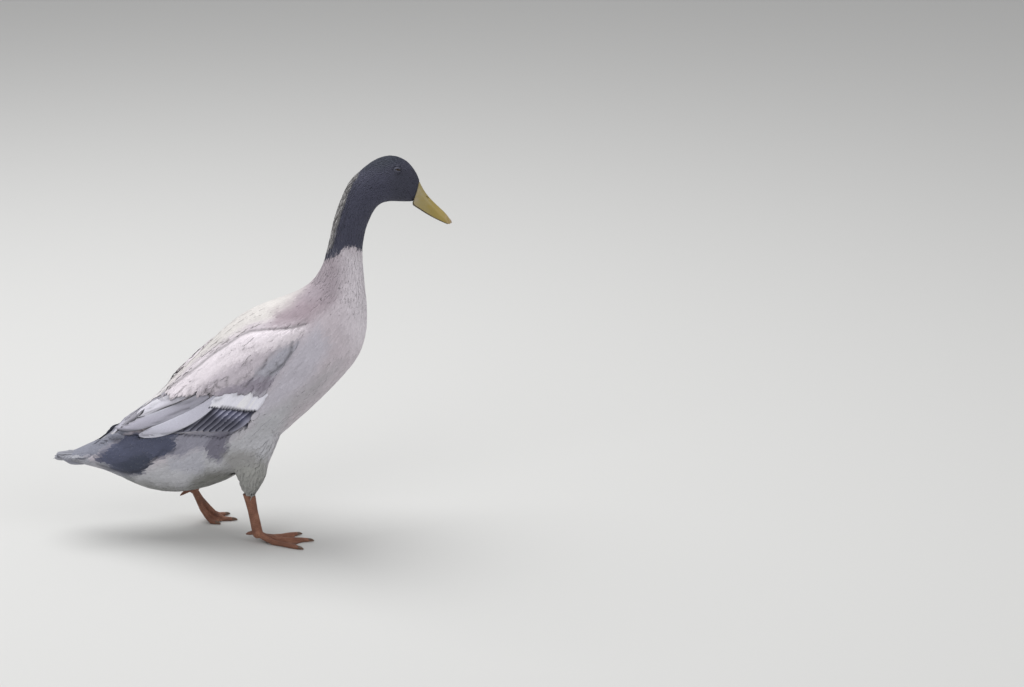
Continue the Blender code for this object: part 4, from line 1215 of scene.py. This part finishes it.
# %% [markdown]
# ## Where feathers grow
# Feathers stand at even distances and never in a grid. Spots are thrown at the skin in a random order, and
# one is kept only where no kept spot stands nearer than the local spacing. Bare places are left out: the
# bill, the eyelids and the legs, all that the long flight feathers cover, and the spot where the wings' ends
# meet over the tail.

# %% Where feathers may grow
EYE_AT = np.mean(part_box("eye_right"), axis=0)
LID_REACH = 0.0048
BARE_GAP = 0.0006
FLIGHT_OUTLINE = [(273, 388), (244, 388), (216, 388), (204, 386), (188, 386), (165, 394), (146, 405),
                  (120, 421), (106, 437), (141, 436), (178, 433), (226, 436), (250, 425), (262, 408)]
FLIGHT_FROM = 0.014
SIDEWAYS = 0.62
FACES_BACK = 0.5
ROUND_ENOUGH = 0.84
WINGS_END = (117.0, 420.0)
WINGS_END_REACH = 19.0
WINGS_END_HALF_WIDTH = 0.022
UPWARDS = 0.35
COVERED_WITHIN = 0.008
bare_trees = [tree_of(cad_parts[node].data)
              for node in ("bill_upper", "bill_lower", "shank_right", "shank_left")]
vane_tree = tree_of(*[piece.data for piece in long_vanes])


def roundness():
    """For each corner of the skin, how alike the ways out of it and its neighbours are: 1 where it is flat."""
    pairs = np.array([tuple(edge.vertices) for edge in skin.data.edges])
    alike = (skin_normals[pairs[:, 0]] * skin_normals[pairs[:, 1]]).sum(axis=1)
    total = np.zeros(len(skin_points))
    count = np.zeros(len(skin_points))
    for end in (0, 1):
        np.add.at(total, pairs[:, end], alike)
        np.add.at(count, pairs[:, end], 1.0)
    return total / np.maximum(count, 1.0)


skin_roundness = roundness()


def may_grow(points):
    """Whether feathers grow at each point."""
    grows = np.ones(len(points), bool)
    for side in (1, -1):
        grows &= np.linalg.norm(points - EYE_AT * (1, side, 1), axis=1) > LID_REACH
    for tree in bare_trees:
        near = [tree.find_nearest(p, BARE_GAP)[0] is not None for p in points.tolist()]
        grows &= ~np.array(near)
    _, normals = on_skin(points)
    grows &= (points[:, 0] > skin_end + 0.0015) & ((normals * flow(points)).sum(axis=1) < FACES_BACK)
    faces = [skin_tree.find_nearest(p)[2] for p in points.tolist()]
    grows &= np.array([skin_roundness[list(skin_faces[face])].min() for face in faces]) > ROUND_ENOUGH
    above = [vane_tree.ray_cast(Vector(p + n * 0.0002), Vector(n), COVERED_WITHIN)[0]
             for p, n in zip(points, normals)]
    grows &= np.array([hit is None for hit in above])
    seen = seen_at(points)
    beside = np.abs(points[:, 1])
    at_wings_end = np.hypot(*(seen - WINGS_END).T) < WINGS_END_REACH
    grows &= ~(at_wings_end & (beside < WINGS_END_HALF_WIDTH) & (normals[:, 2] > UPWARDS))
    flight = edge_distance(seen, FLIGHT_OUTLINE) > 0
    return grows & ~(flight & (beside > FLIGHT_FROM) & (np.abs(normals[:, 1]) > SIDEWAYS))


print("long feathers' pieces", len(long_vanes))

# %% Scattering the roots
NEIGHBOURS = [(dx, dy, dz) for dx in (-1, 0, 1) for dy in (-1, 0, 1) for dz in (-1, 0, 1)]
THROWS = 5.0


def scatter():
    """Roots all over the skin, spread by the spacing in the spine's table."""
    triangles = np.array([(f[0], f[k], f[k + 1]) for f in skin_faces for k in range(1, len(f) - 1)])
    a, b, c = (skin_points[triangles[:, k]] for k in range(3))
    areas = np.linalg.norm(np.cross(b - a, c - a), axis=1) / 2
    place, _ = along_bird((a + b + c) / 3)
    wanted = spine_value(place, SPACING) * MILLI
    chance = areas / wanted**2
    picks = rng.choice(len(triangles), size=int(chance.sum() * THROWS), p=chance / chance.sum())
    u, v = rng.random((2, len(picks)))
    fold = u + v > 1
    u, v = np.where(fold, 1 - u, u), np.where(fold, 1 - v, v)
    spots = a[picks] + (b - a)[picks] * u[:, None] + (c - a)[picks] * v[:, None]
    gaps = wanted[picks]
    cell = gaps.max()
    kept, grid = [], {}
    for k, (spot, gap) in enumerate(zip(spots.tolist(), gaps.tolist())):
        x, y, z = (int(math.floor(value / cell)) for value in spot)
        near = (other for dx, dy, dz in NEIGHBOURS for other in grid.get((x + dx, y + dy, z + dz), ()))
        if all(math.dist(spot, other) >= gap for other in near):
            grid.setdefault((x, y, z), []).append(spot)
            kept.append(k)
    return spots[kept]


roots = scatter()
roots = roots[may_grow(roots)]
place, _ = along_bird(roots)
print("roots", len(roots))

# %% [markdown]
# ## The coat, from face to rump
# The coat is laid in pieces, each with feathers of its own kind: tiny pointed ones like fur on the face, longer
# ones on the neck, and rounded overlapping ones on the breast and back, which also cover the thighs.

# %% Laying the coat
NEAR_EYE = 0.0050
SCAPULAR_OUTLINE = [(290, 330), (251, 332), (231, 342), (198, 364), (165, 390), (190, 398), (215, 380),
                    (250, 358), (280, 345)]
LONGER = 0.5
UNEVEN = 0.07
# Corners across, fray of the markings in pixels, dip of the rims and thickness in millimetres
FINE = (POINTED, 3, 1.2, 0.04, 0.08)
BROAD = (ROUNDED, 5, 2.0, 0.15, 0.14)
COATS = [
    # Name, place on the spine where it ends, material, kind of feather
    ("coat_face", 2.2, dark_coat, FINE),
    ("coat_hood", 5.0, dark_coat, FINE),
    ("coat_neck_upper", 7.6, dark_coat, FINE),
    ("coat_neck_lower", 10.2, soft_coat, FINE),
    ("coat_shoulders", 12.3, soft_coat, BROAD),
    ("coat_breast", 14.2, soft_coat, BROAD),
    ("coat_back", 16.3, soft_coat, BROAD),
    ("coat_loins", 18.6, soft_coat, BROAD),
    ("coat_rump", 21.0, soft_coat, BROAD),
    ("coat_tail", math.inf, soft_coat, BROAD),
]


def clear_of_eyes(points, lengths):
    """Shortens feathers that would run across an eye."""
    for side in (1, -1):
        ahead = EYE_AT * (1, side, 1) - points
        gap = np.linalg.norm(ahead, axis=1)
        toward = (ahead * flow(points)).sum(axis=1) / gap
        room = np.maximum(gap - NEAR_EYE, 0.25 * lengths)
        lengths = np.where((toward > 0.5) & (gap < lengths + NEAR_EYE), np.minimum(lengths, room), lengths)
    return lengths


wing_part = wing_share(roots)
kind = place + rng.normal(0.0, 0.3, len(place))
starts = -math.inf
for name, ends, finish, (outline, across, ragged, dip, thick) in COATS:
    chosen = (kind >= starts) & (kind < ends)
    starts = ends
    at = roots[chosen]
    spot = place[chosen]
    wing = wing_part[chosen]
    lengths = spine_value(spot, LENGTH) * MILLI * rng.uniform(0.88, 1.12, len(at))
    lengths *= 1 + LONGER * wing * np.clip(edge_distance(seen_at(at), SCAPULAR_OUTLINE) / 6.0, 0.0, 1.0)
    lengths = clear_of_eyes(at, lengths)
    widths = spine_value(spot, HALF_WIDTH) * MILLI * rng.uniform(0.9, 1.1, len(at))
    lifts = (spine_value(spot, COAT_DEPTH) + WING_COAT * wing) * MILLI
    lifts -= rng.uniform(0.0, UNEVEN, len(at)) * MILLI
    piece = coat_piece(name, at, finish, outline, across, (lengths, widths), lifts, ragged, dip, thick)

# %% [markdown]
# ## Tail
# The tail feathers fan out from the rump in pairs and lie like roof tiles, the middle pair on top. They grow in
# the bird's own space rather than in the picture, because from above they are seen spread. Small feathers hide
# all but their ends.

# %% Tail feathers
TAIL_PAIRS = 6
TAIL_ROOT = np.array([-0.1900, 0.0, 0.0975])
TAIL_TIP = np.array([-0.2335, 0.0, 0.0965])
TAIL_HALF_WIDTH = 0.0050
TAIL_LAYER = 0.0004
TAIL_ARCH = 0.0016
# What each pair adds: sideways at the root and the tip, backwards, downwards at the root, and turn in degrees
TAIL_ROOT_SPREAD, TAIL_SPREAD, TAIL_SHORTER, TAIL_DROP, TAIL_TURN = 0.0016, 0.0022, 0.0020, 0.0009, 14.0
TAIL_SHADE = linear(128, 129, 138)
TAIL_RIM = linear(160, 161, 170)

tail_widths = np.maximum(BLADE_WIDTHS, 0.92 * np.clip((1.01 - BLADE_TS) / 0.20, 0.0, 1.0) ** 0.6)
widths = TAIL_HALF_WIDTH * tail_widths[:, None]
corners, colours, barbs = [], [], []
for k in range(TAIL_PAIRS - 1, -1, -1):
    for side in (-1.0, 1.0):
        drop = -TAIL_DROP * k
        start = TAIL_ROOT + np.array([0.0, side * (0.0015 + TAIL_ROOT_SPREAD * k), drop])
        end = TAIL_TIP + np.array([TAIL_SHORTER * k**1.15, side * (0.0020 + TAIL_SPREAD * k), drop * 0.62])
        step = end - start
        roll = math.radians(TAIL_TURN * k + 8.0)
        out = unit(np.array([0.10, side * math.sin(roll), math.cos(roll)]))
        across = np.cross(unit(step), out)
        path = start + step * BLADE_TS[:, None] + out * (TAIL_ARCH * np.sin(BLADE_TS * math.pi))[:, None]
        layer = TAIL_LAYER * (TAIL_PAIRS - k)
        lift = layer - 0.0004 * ACROSS**2 + SHAFT_RIDGE * (ACROSS == 0)
        top = path[:, None] + across * (widths * ACROSS)[..., None] + out * lift[:, None]
        corners.append(np.concatenate([top, (path + out * (layer - BLADE_THICK))[:, None]], axis=1))
        tone = 1 + rng.normal(0.0, 0.06)
        colours.append(blade_shades(TAIL_SHADE * tone, TAIL_RIM * tone, TAIL_RIM * tone))
        barbs.append(blade_barbs(widths, np.linalg.norm(step)))
corners, colours, barbs = np.array(corners), np.array(colours), np.array(barbs)
tail_spots = vane_spots(corners[:, 0, SHAFT], BLADE_ROWS, len(ACROSS))
tail = vane_piece("tail_feathers", corners, colours, barbs, tail_spots, vane_coat)
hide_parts("tail")

# %% [markdown]
# ## Eyes and lids
# The eye is a wet, almost black ball that sits deep in the head. Only a narrow almond of it shows, because the
# bird narrows its eyes in the light. The lids are rings of skin drawn over the ball: a circle of edges becomes
# the almond rim and is extruded outwards until it dives under the feathers.

# %% Materials of bare parts


def procedural(name, roughness, specular=0.5, coat=0.0):
    """A new material: itself, its node tree and its shader."""
    made = bpy.data.materials.new(name)
    made.use_nodes = True
    shader = made.node_tree.nodes["Principled BSDF"]
    shader.inputs["Roughness"].default_value = roughness
    shader.inputs["Specular IOR Level"].default_value = specular
    shader.inputs["Coat Weight"].default_value = coat
    shader.inputs["Coat Roughness"].default_value = 0.05
    return made, made.node_tree, shader


def ramp_node(tree, source, stops):
    """A colour ramp with the given places and colours, fed by a value."""
    ramp = tree.nodes.new("ShaderNodeValToRGB")
    while len(ramp.color_ramp.elements) < len(stops):
        ramp.color_ramp.elements.new(0.5)
    for element, (at, colour) in zip(ramp.color_ramp.elements, stops):
        element.position = at
        element.color = (*colour, 1.0)
    tree.links.new(source, ramp.inputs["Fac"])
    return ramp.outputs["Color"]


def clouded(name, roughness, specular, scale, stops, coat=0.0):
    """A material whose colour drifts from tone to tone in clouds: itself, its tree, shader and clouds."""
    made, tree, shader = procedural(name, roughness, specular, coat)
    clouds = noise_node(tree, scale)
    tree.links.new(ramp_node(tree, clouds, stops), shader.inputs["Base Color"])
    return made, tree, shader, clouds


eye_gloss = clouded("wet_eye", 0.15, 0.14, 900.0,
                    [(0.35, (0.010, 0.007, 0.005)), (0.70, (0.035, 0.022, 0.013))], 0.14)[0]
lid_skin, tree, shader, grain = clouded("lid_skin", 0.62, 0.3, 1400.0,
                                        [(0.3, linear(66, 67, 80)), (0.75, linear(84, 85, 98))])
bump_node(tree, shader, grain, 0.5, 0.0002)
print("materials of the eye: 2")

# %% Eyes
EYE_SIZE = 0.0045
LID_LOOPS = [
    # Half length, height above and below the middle, height over the ball, least height over the skin; in mm
    (3.20, 1.25, 1.05, 0.02, -0.15),
    (3.35, 1.45, 1.25, 0.42, 0.30),
    (3.80, 2.15, 1.90, 0.52, 0.70),
    (4.30, 3.05, 2.75, 0.36, 0.75),
    (5.00, 4.10, 3.80, -9.0, 0.50),
    (6.00, 5.20, 4.90, -9.0, -0.60),
]
LID_SIDES = 28
LID_TILT = math.radians(-6.0)
AROUND_EYE = 0.0075
AROUND_EYE_BULGE = 0.0003


def facing_out(centre, side):
    """The way out of the head at an eye, and how high the skin lies over the eye's middle that way."""
    found = []
    for a in np.linspace(0.0, 2 * math.pi, 16, endpoint=False):
        start = Vector((centre[0] + AROUND_EYE * math.cos(a), side * 0.1, centre[2] + AROUND_EYE * math.sin(a)))
        hit, _, face, _ = skin_tree.ray_cast(start, Vector((0.0, -side, 0.0)))
        found.append((np.array(hit), face_normals[face]))
    out = unit(np.mean([normal for _, normal in found], axis=0))
    return Vector(out), float(np.mean([(hit - centre) @ out for hit, _ in found]))


def outer_edges(bm, edges):
    """Extrudes a loop of edges and gives the new loop's corners and edges."""
    grown = bmesh.ops.extrude_edge_only(bm, edges=edges)["geom"]
    return ([item for item in grown if isinstance(item, bmesh.types.BMVert)],
            [item for item in grown if isinstance(item, bmesh.types.BMEdge)])


def rounded(obj, levels):
    modifier = obj.modifiers.new("rounded", "SUBSURF")
    modifier.levels = modifier.render_levels = levels


for side, word in ((-1.0, "right"), (1.0, "left")):
    centre = EYE_AT * (1.0, -side, 1.0)
    out, skin_height = facing_out(centre, side)
    skin_height += AROUND_EYE_BULGE
    level = Vector((math.cos(LID_TILT), 0.0, math.sin(LID_TILT)))
    level = (level - out * level.dot(out)).normalized()
    upright = out.cross(level) * side
    upright = upright if upright.z > 0 else -upright
    bm = bmesh.new()
    bmesh.ops.create_uvsphere(bm, u_segments=32, v_segments=20, radius=EYE_SIZE)
    bmesh.ops.translate(bm, verts=bm.verts, vec=centre)
    ball = new_object(f"eyeball_{word}", bm, eye_gloss)
    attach(ball, "root")
    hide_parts(f"eye_{word}")
    bm = bmesh.new()
    ring = bmesh.ops.create_circle(bm, segments=LID_SIDES, radius=EYE_SIZE)["verts"]
    edges = bm.edges[:]
    for k, (half, above, below, over, least) in enumerate(LID_LOOPS):
        if k:
            ring, edges = outer_edges(bm, edges)
        for vert, a in zip(ring, np.linspace(0, 2 * math.pi, LID_SIDES, endpoint=False)):
            x = half * math.cos(a) * MILLI
            y = (above if math.sin(a) > 0 else below) * math.sin(a) * MILLI
            radius = max(EYE_SIZE + over * MILLI, 0.0)
            rise = max(math.sqrt(max(radius**2 - x * x - y * y, 0.0)), skin_height + least * MILLI)
            vert.co = Vector(centre) + level * x + upright * y + out * rise
    bmesh.ops.recalc_face_normals(bm, faces=bm.faces)
    if sum(face.normal.dot(out) for face in bm.faces) < 0:
        bmesh.ops.reverse_faces(bm, faces=bm.faces)
    lids = new_object(f"lids_{word}", bm, lid_skin)
    rounded(lids, 2)
    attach(lids, "root")
    print("eye", word, "out", [round(v, 2) for v in out], "skin over the middle", round(skin_height, 4))
print("eyes 2, lid loops", len(LID_LOOPS))

# %% [markdown]
# ## Bill
# The bill is lofted the way a boat is: one ring of edges is extruded from slice to slice, each ring shaped by
# the height of the bill and its width there. It is high and narrow at the face, spreads to a flat spoon and
# ends in a hard nail. The nostrils are cut in near the ridge.

# %% The upper bill
BILL_SHIFT = 0.0047
BILL_STARTS = 0.190
NOSTRIL_SEEN = (428.0, 197.6)
NOSTRIL_SIZE = (2.7, 1.8, 0.9)
NOSTRIL_SLOPE = math.radians(42.0)
BILL_SLICES = [
    # x and z of the ridge, x and z of the mouth line, half width
    (0.1915, 0.4306, 0.1845, 0.4050, 0.0094),
    (0.1929, 0.4262, 0.1866, 0.4030, 0.0092),
    (0.1966, 0.4186, 0.1912, 0.3998, 0.0088),
    (0.2014, 0.4112, 0.1966, 0.3958, 0.0084),
    (0.2074, 0.4046, 0.2035, 0.3912, 0.0084),
    (0.2140, 0.3978, 0.2108, 0.3872, 0.0090),
    (0.2200, 0.3921, 0.2176, 0.3839, 0.0095),
    (0.2240, 0.3874, 0.2224, 0.3813, 0.0088),
    (0.2266, 0.3834, 0.2256, 0.3795, 0.0068),
    (0.2279, 0.3803, 0.2274, 0.3786, 0.0036),
]
BILL_SIDES = 28
RIDGE_SHARPNESS = 0.82
UNDER_ARCH = 0.0007


def lofted(name, rings, finish, levels=2):
    """A closed loft through rings of points, extruded one from another."""
    bm = bmesh.new()
    ring = bmesh.ops.create_circle(bm, segments=len(rings[0]), radius=0.01)["verts"]
    edges = bm.edges[:]
    bmesh.ops.contextual_create(bm, geom=edges)
    for k, points in enumerate(rings):
        if k:
            ring, edges = outer_edges(bm, edges)
        for vert, point in zip(ring, points):
            vert.co = point
    bmesh.ops.contextual_create(bm, geom=edges)
    bmesh.ops.recalc_face_normals(bm, faces=bm.faces)
    obj = new_object(name, bm, finish)
    rounded(obj, levels)
    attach(obj, "root")
    return obj


def slice_ring(low_x, low_z, half, lift):
    """One slice of the bill: corners round the mouth line's middle, moved by lift of each corner's turn."""
    low = np.array([low_x + BILL_SHIFT, 0.0, low_z])
    ring = []
    for a in np.linspace(0, 2 * math.pi, BILL_SIDES, endpoint=False):
        ring.append(Vector(low + lift(math.sin(a)) + np.array([0.0, half * math.cos(a), 0.0])))
    return ring


def bill_ring(top_x, top_z, low_x, low_z, half):
    """One slice of the upper bill: an arch over the mouth line, and almost flat below it."""
    rise = np.array([top_x, 0.0, top_z]) - np.array([low_x, 0.0, low_z])

    def lift(turn):
        return rise * turn**RIDGE_SHARPNESS if turn >= 0 else unit(rise) * UNDER_ARCH * turn

    return slice_ring(low_x, low_z, half, lift)


bill_horn, tree, shader = procedural("bill_horn", 0.42, 0.45)
calc = maths(tree)
axis = tree.nodes.new("ShaderNodeSeparateXYZ")
tree.links.new(tree.nodes.new("ShaderNodeTexCoord").outputs["Object"], axis.inputs[0])
along_bill = calc("MULTIPLY", calc("SUBTRACT", axis.outputs[0], BILL_STARTS), 24.0)
cloud = calc("MULTIPLY", calc("SUBTRACT", noise_node(tree, 220.0, 4.0), 0.5), 0.55)
tones = ramp_node(tree, calc("ADD", along_bill, cloud), [
    (0.02, linear(160, 148, 118)), (0.22, linear(154, 140, 94)), (0.55, linear(152, 134, 72)),
    (0.86, linear(158, 138, 76)), (1.0, linear(172, 150, 108))])
tree.links.new(tones, shader.inputs["Base Color"])
bump_node(tree, shader, noise_node(tree, 1500.0, 2.0), 0.25, 0.00015)
# The lower bill's horn, darker than the upper: painted shade beneath the upper bill
shaded_mouth_horn = clouded("shaded_mouth_horn", 0.5, 0.4, 300.0, [(0.3, linear(72, 62, 50)), (0.7, linear(104, 92, 68))])[0]

upper = lofted("upper_bill", [bill_ring(*row) for row in BILL_SLICES], bill_horn)
finished(upper)
nostril_at = tree_of(upper.data).ray_cast(Vector(CAMERA_AT), Vector(sight(*NOSTRIL_SEEN)))[0]
nostril_at[1] = abs(nostril_at[1])
print("nostril at", [round(v, 4) for v in nostril_at])
cutter_mesh = bmesh.new()
for side in (-1.0, 1.0):
    hole = bmesh.ops.create_uvsphere(cutter_mesh, u_segments=20, v_segments=12, radius=MILLI)["verts"]
    bmesh.ops.scale(cutter_mesh, vec=NOSTRIL_SIZE, verts=hole)
    bmesh.ops.rotate(cutter_mesh, cent=(0, 0, 0), matrix=Matrix.Rotation(NOSTRIL_SLOPE, 3, "Y"), verts=hole)
    bmesh.ops.translate(cutter_mesh, vec=(nostril_at[0], nostril_at[1] * side, nostril_at[2]), verts=hole)
cutter = new_object("nostril_cutter", cutter_mesh, shaded_mouth_horn)
holes = upper.modifiers.new("nostrils", "BOOLEAN")
holes.operation = "DIFFERENCE"
holes.solver = "EXACT"
holes.object = cutter
finished(upper)
bpy.data.objects.remove(cutter, do_unlink=True)
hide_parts("bill_upper")

# %% The lower bill and the nail
MANDIBLE_INSET = 0.0007
MANDIBLE_GAP = 0.0004
MANDIBLE_DEPTH = 0.0030
rings = []
for k, (top_x, top_z, low_x, low_z, half) in enumerate(BILL_SLICES[:-1]):
    fall = unit(np.array([low_x - top_x, 0.0, low_z - top_z]))
    deep = MANDIBLE_DEPTH * (1 - 0.07 * k)
    rings.append(slice_ring(low_x, low_z, half - MANDIBLE_INSET,
                            lambda turn: fall * (MANDIBLE_GAP + deep * max(-turn, 0.0) ** 0.6)))
lower = lofted("lower_bill", rings, shaded_mouth_horn)
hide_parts("bill_lower")

nail_horn = clouded("nail_horn", 0.35, 0.5, 500.0,
                    [(0.3, linear(158, 138, 112)), (0.75, linear(176, 154, 126))])[0]
NAIL_AT = (0.2258 + BILL_SHIFT, 0.0, 0.3822)
NAIL_SIZE = (4.4, 3.0, 1.7)
bm = bmesh.new()
bmesh.ops.create_uvsphere(bm, u_segments=24, v_segments=14, radius=MILLI)
bmesh.ops.scale(bm, vec=NAIL_SIZE, verts=bm.verts)
bmesh.ops.rotate(bm, cent=(0, 0, 0), matrix=Matrix.Rotation(math.radians(50.0), 3, "Y"), verts=bm.verts)
bmesh.ops.translate(bm, vec=NAIL_AT, verts=bm.verts)
nail = new_object("bill_nail", bm, nail_horn)
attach(nail, "root")
print("bill slices", len(BILL_SLICES))

# %% [markdown]
# ## Legs and feet
# Shanks and webbed feet are bare scaly skin. Copies of the solids are run together at a fine grid and
# smoothed, so toes and webs flow into each other. Scutes, the broad scales down the front of the shank, and the
# small round scales elsewhere come from relief in the material.

# %% Scaly skin
SCUTE_LENGTH = 0.0026
SCUTES_ABOVE = 0.014
scale_group, inward, outward = new_group("leg_scales", [("Scales per mm", "NodeSocketFloat", 0.7)],
                                         ["Height", "Shade"])
calc = maths(scale_group)
links = scale_group.links
coordinate = scale_group.nodes.new("ShaderNodeTexCoord").outputs["Object"]
per_metre = calc("MULTIPLY", inward.outputs["Scales per mm"], 1000.0)
cells = scale_group.nodes.new("ShaderNodeTexVoronoi")
cells.feature = "DISTANCE_TO_EDGE"
cells.inputs["Scale"].default_value = 1.0
links.new(scaled_by(scale_group, coordinate, per_metre), cells.inputs["Vector"])
round_cell = calc("MINIMUM", calc("MULTIPLY", cells.outputs["Distance"], 5.0), 1.0)
axes = scale_group.nodes.new("ShaderNodeSeparateXYZ")
links.new(coordinate, axes.inputs[0])
run = calc("ADD", calc("MULTIPLY", axes.outputs[0], -0.25), axes.outputs[2])
bands = calc("ABSOLUTE", calc("SINE", calc("MULTIPLY", run, math.pi / SCUTE_LENGTH)))
broad = calc("MINIMUM", calc("MULTIPLY", bands, 2.5), 1.0)
on_shank = calc("MULTIPLY", calc("SUBTRACT", axes.outputs[2], SCUTES_ABOVE), 400.0)
on_shank.node.use_clamp = True
both = scale_group.nodes.new("ShaderNodeMix")
links.new(on_shank, both.inputs["Factor"])
links.new(round_cell, both.inputs["A"])
links.new(calc("MULTIPLY", broad, round_cell), both.inputs["B"])
links.new(both.outputs["Result"], outward.inputs["Height"])
links.new(both.outputs["Result"], outward.inputs["Shade"])

leg_skin, tree, shader = procedural("leg_skin", 0.48, 0.4)
calc = maths(tree)
scales = tree.nodes.new("ShaderNodeGroup")
scales.node_tree = scale_group
tone = ramp_node(tree, noise_node(tree, 90.0, 4.0), [
    (0.30, linear(112, 74, 58)), (0.52, linear(140, 94, 74)), (0.75, linear(164, 118, 94))])
light = calc("ADD", calc("MULTIPLY", scales.outputs["Shade"], 0.35), 0.68)
tree.links.new(scaled_by(tree, tone, light), shader.inputs["Base Color"])
bump_node(tree, shader, scales.outputs["Height"], 0.7, 0.0003)
print("scales", SCUTE_LENGTH, "m long")

# %% Shanks and feet
LEG_VOXEL = 0.00065
LEG_OVERLAP = 0.00012
for word in ("right", "left"):
    leg = run_together(f"leg_{word}", [f"shank_{word}", f"foot_{word}"], LEG_VOXEL, LEG_OVERLAP)
    keep_largest(leg.data)
    bm = bmesh.new()
    bm.from_mesh(leg.data)
    for _ in range(2):
        bmesh.ops.smooth_vert(bm, verts=bm.verts, factor=0.5, use_axis_x=True, use_axis_y=True, use_axis_z=True)
    bm.to_mesh(leg.data)
    bm.free()
    leg.data.shade_smooth()
    leg.data.materials.clear()
    leg.data.materials.append(leg_skin)
    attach(leg, "root")
    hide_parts(f"shank_{word}", f"foot_{word}")
    print(leg.name, len(leg.data.polygons), "faces")

# %% [markdown]
# ## Claws
# A duck's claws are short, blunt and horny, a little hooked. Each is a cone of five rings that starts inside
# the toe's end and bends down to the floor. The three front toes are where the solid foot has them, and the
# short hind toe stays as the solid has it.

# %% Claws
CLAW_STEPS = [
    # Distance from the toe's end, height over it, radius
    (-0.0030, 0.0, 0.00215), (0.0010, 0.00015, 0.00200), (0.0034, 0.0, 0.00165), (0.0054, -0.0004, 0.00110),
    (0.0068, -0.0011, 0.00040)]
CLAW_SIDES = 10
ANKLES = {
    # x and y of the ankle, side, whether the foot leans on its toes, height of the toes' root
    "right": (0.0038, -0.0342, -1.0, 0.0, 0.0108),
    "left": (-0.0781, 0.0342, 1.0, 1.0, 0.0414),
}
# Length of each toe and how far it is turned, in degrees
TOES = [(0.0486, -24.0), (0.0594, 0.0), (0.0550, 26.0)]
TOE_END_HEIGHT = 0.0024
claw_horn = clouded("claw_horn", 0.4, 0.5, 600.0, [(0.3, linear(74, 58, 48)), (0.75, linear(118, 94, 76))])[0]
for word, (ankle_x, ankle_y, side, leans, high) in ANKLES.items():
    for k, (length, degrees) in enumerate(TOES):
        reach = length * math.sqrt(1.0 - ((high - TOE_END_HEIGHT) / length) ** 2 * leans)
        angle = math.radians(degrees) * side
        ahead = np.array([math.cos(angle), math.sin(angle), 0.0])
        end = np.array([ankle_x, ankle_y, TOE_END_HEIGHT]) + ahead * reach
        beside = np.array([-ahead[1], ahead[0], 0.0])
        rings = []
        for far, up, radius in CLAW_STEPS:
            middle = end + ahead * far + np.array([0.0, 0.0, max(up, radius - TOE_END_HEIGHT)])
            turns = np.linspace(0.0, 2 * math.pi, CLAW_SIDES, endpoint=False)
            rings.append([Vector(middle + radius * (beside * math.cos(a) + np.array([0, 0, math.sin(a)])))
                          for a in turns])
        claw = lofted(f"claw_{word}_{k + 1}", rings, claw_horn, 1)
print("claws", 2 * len(TOES))
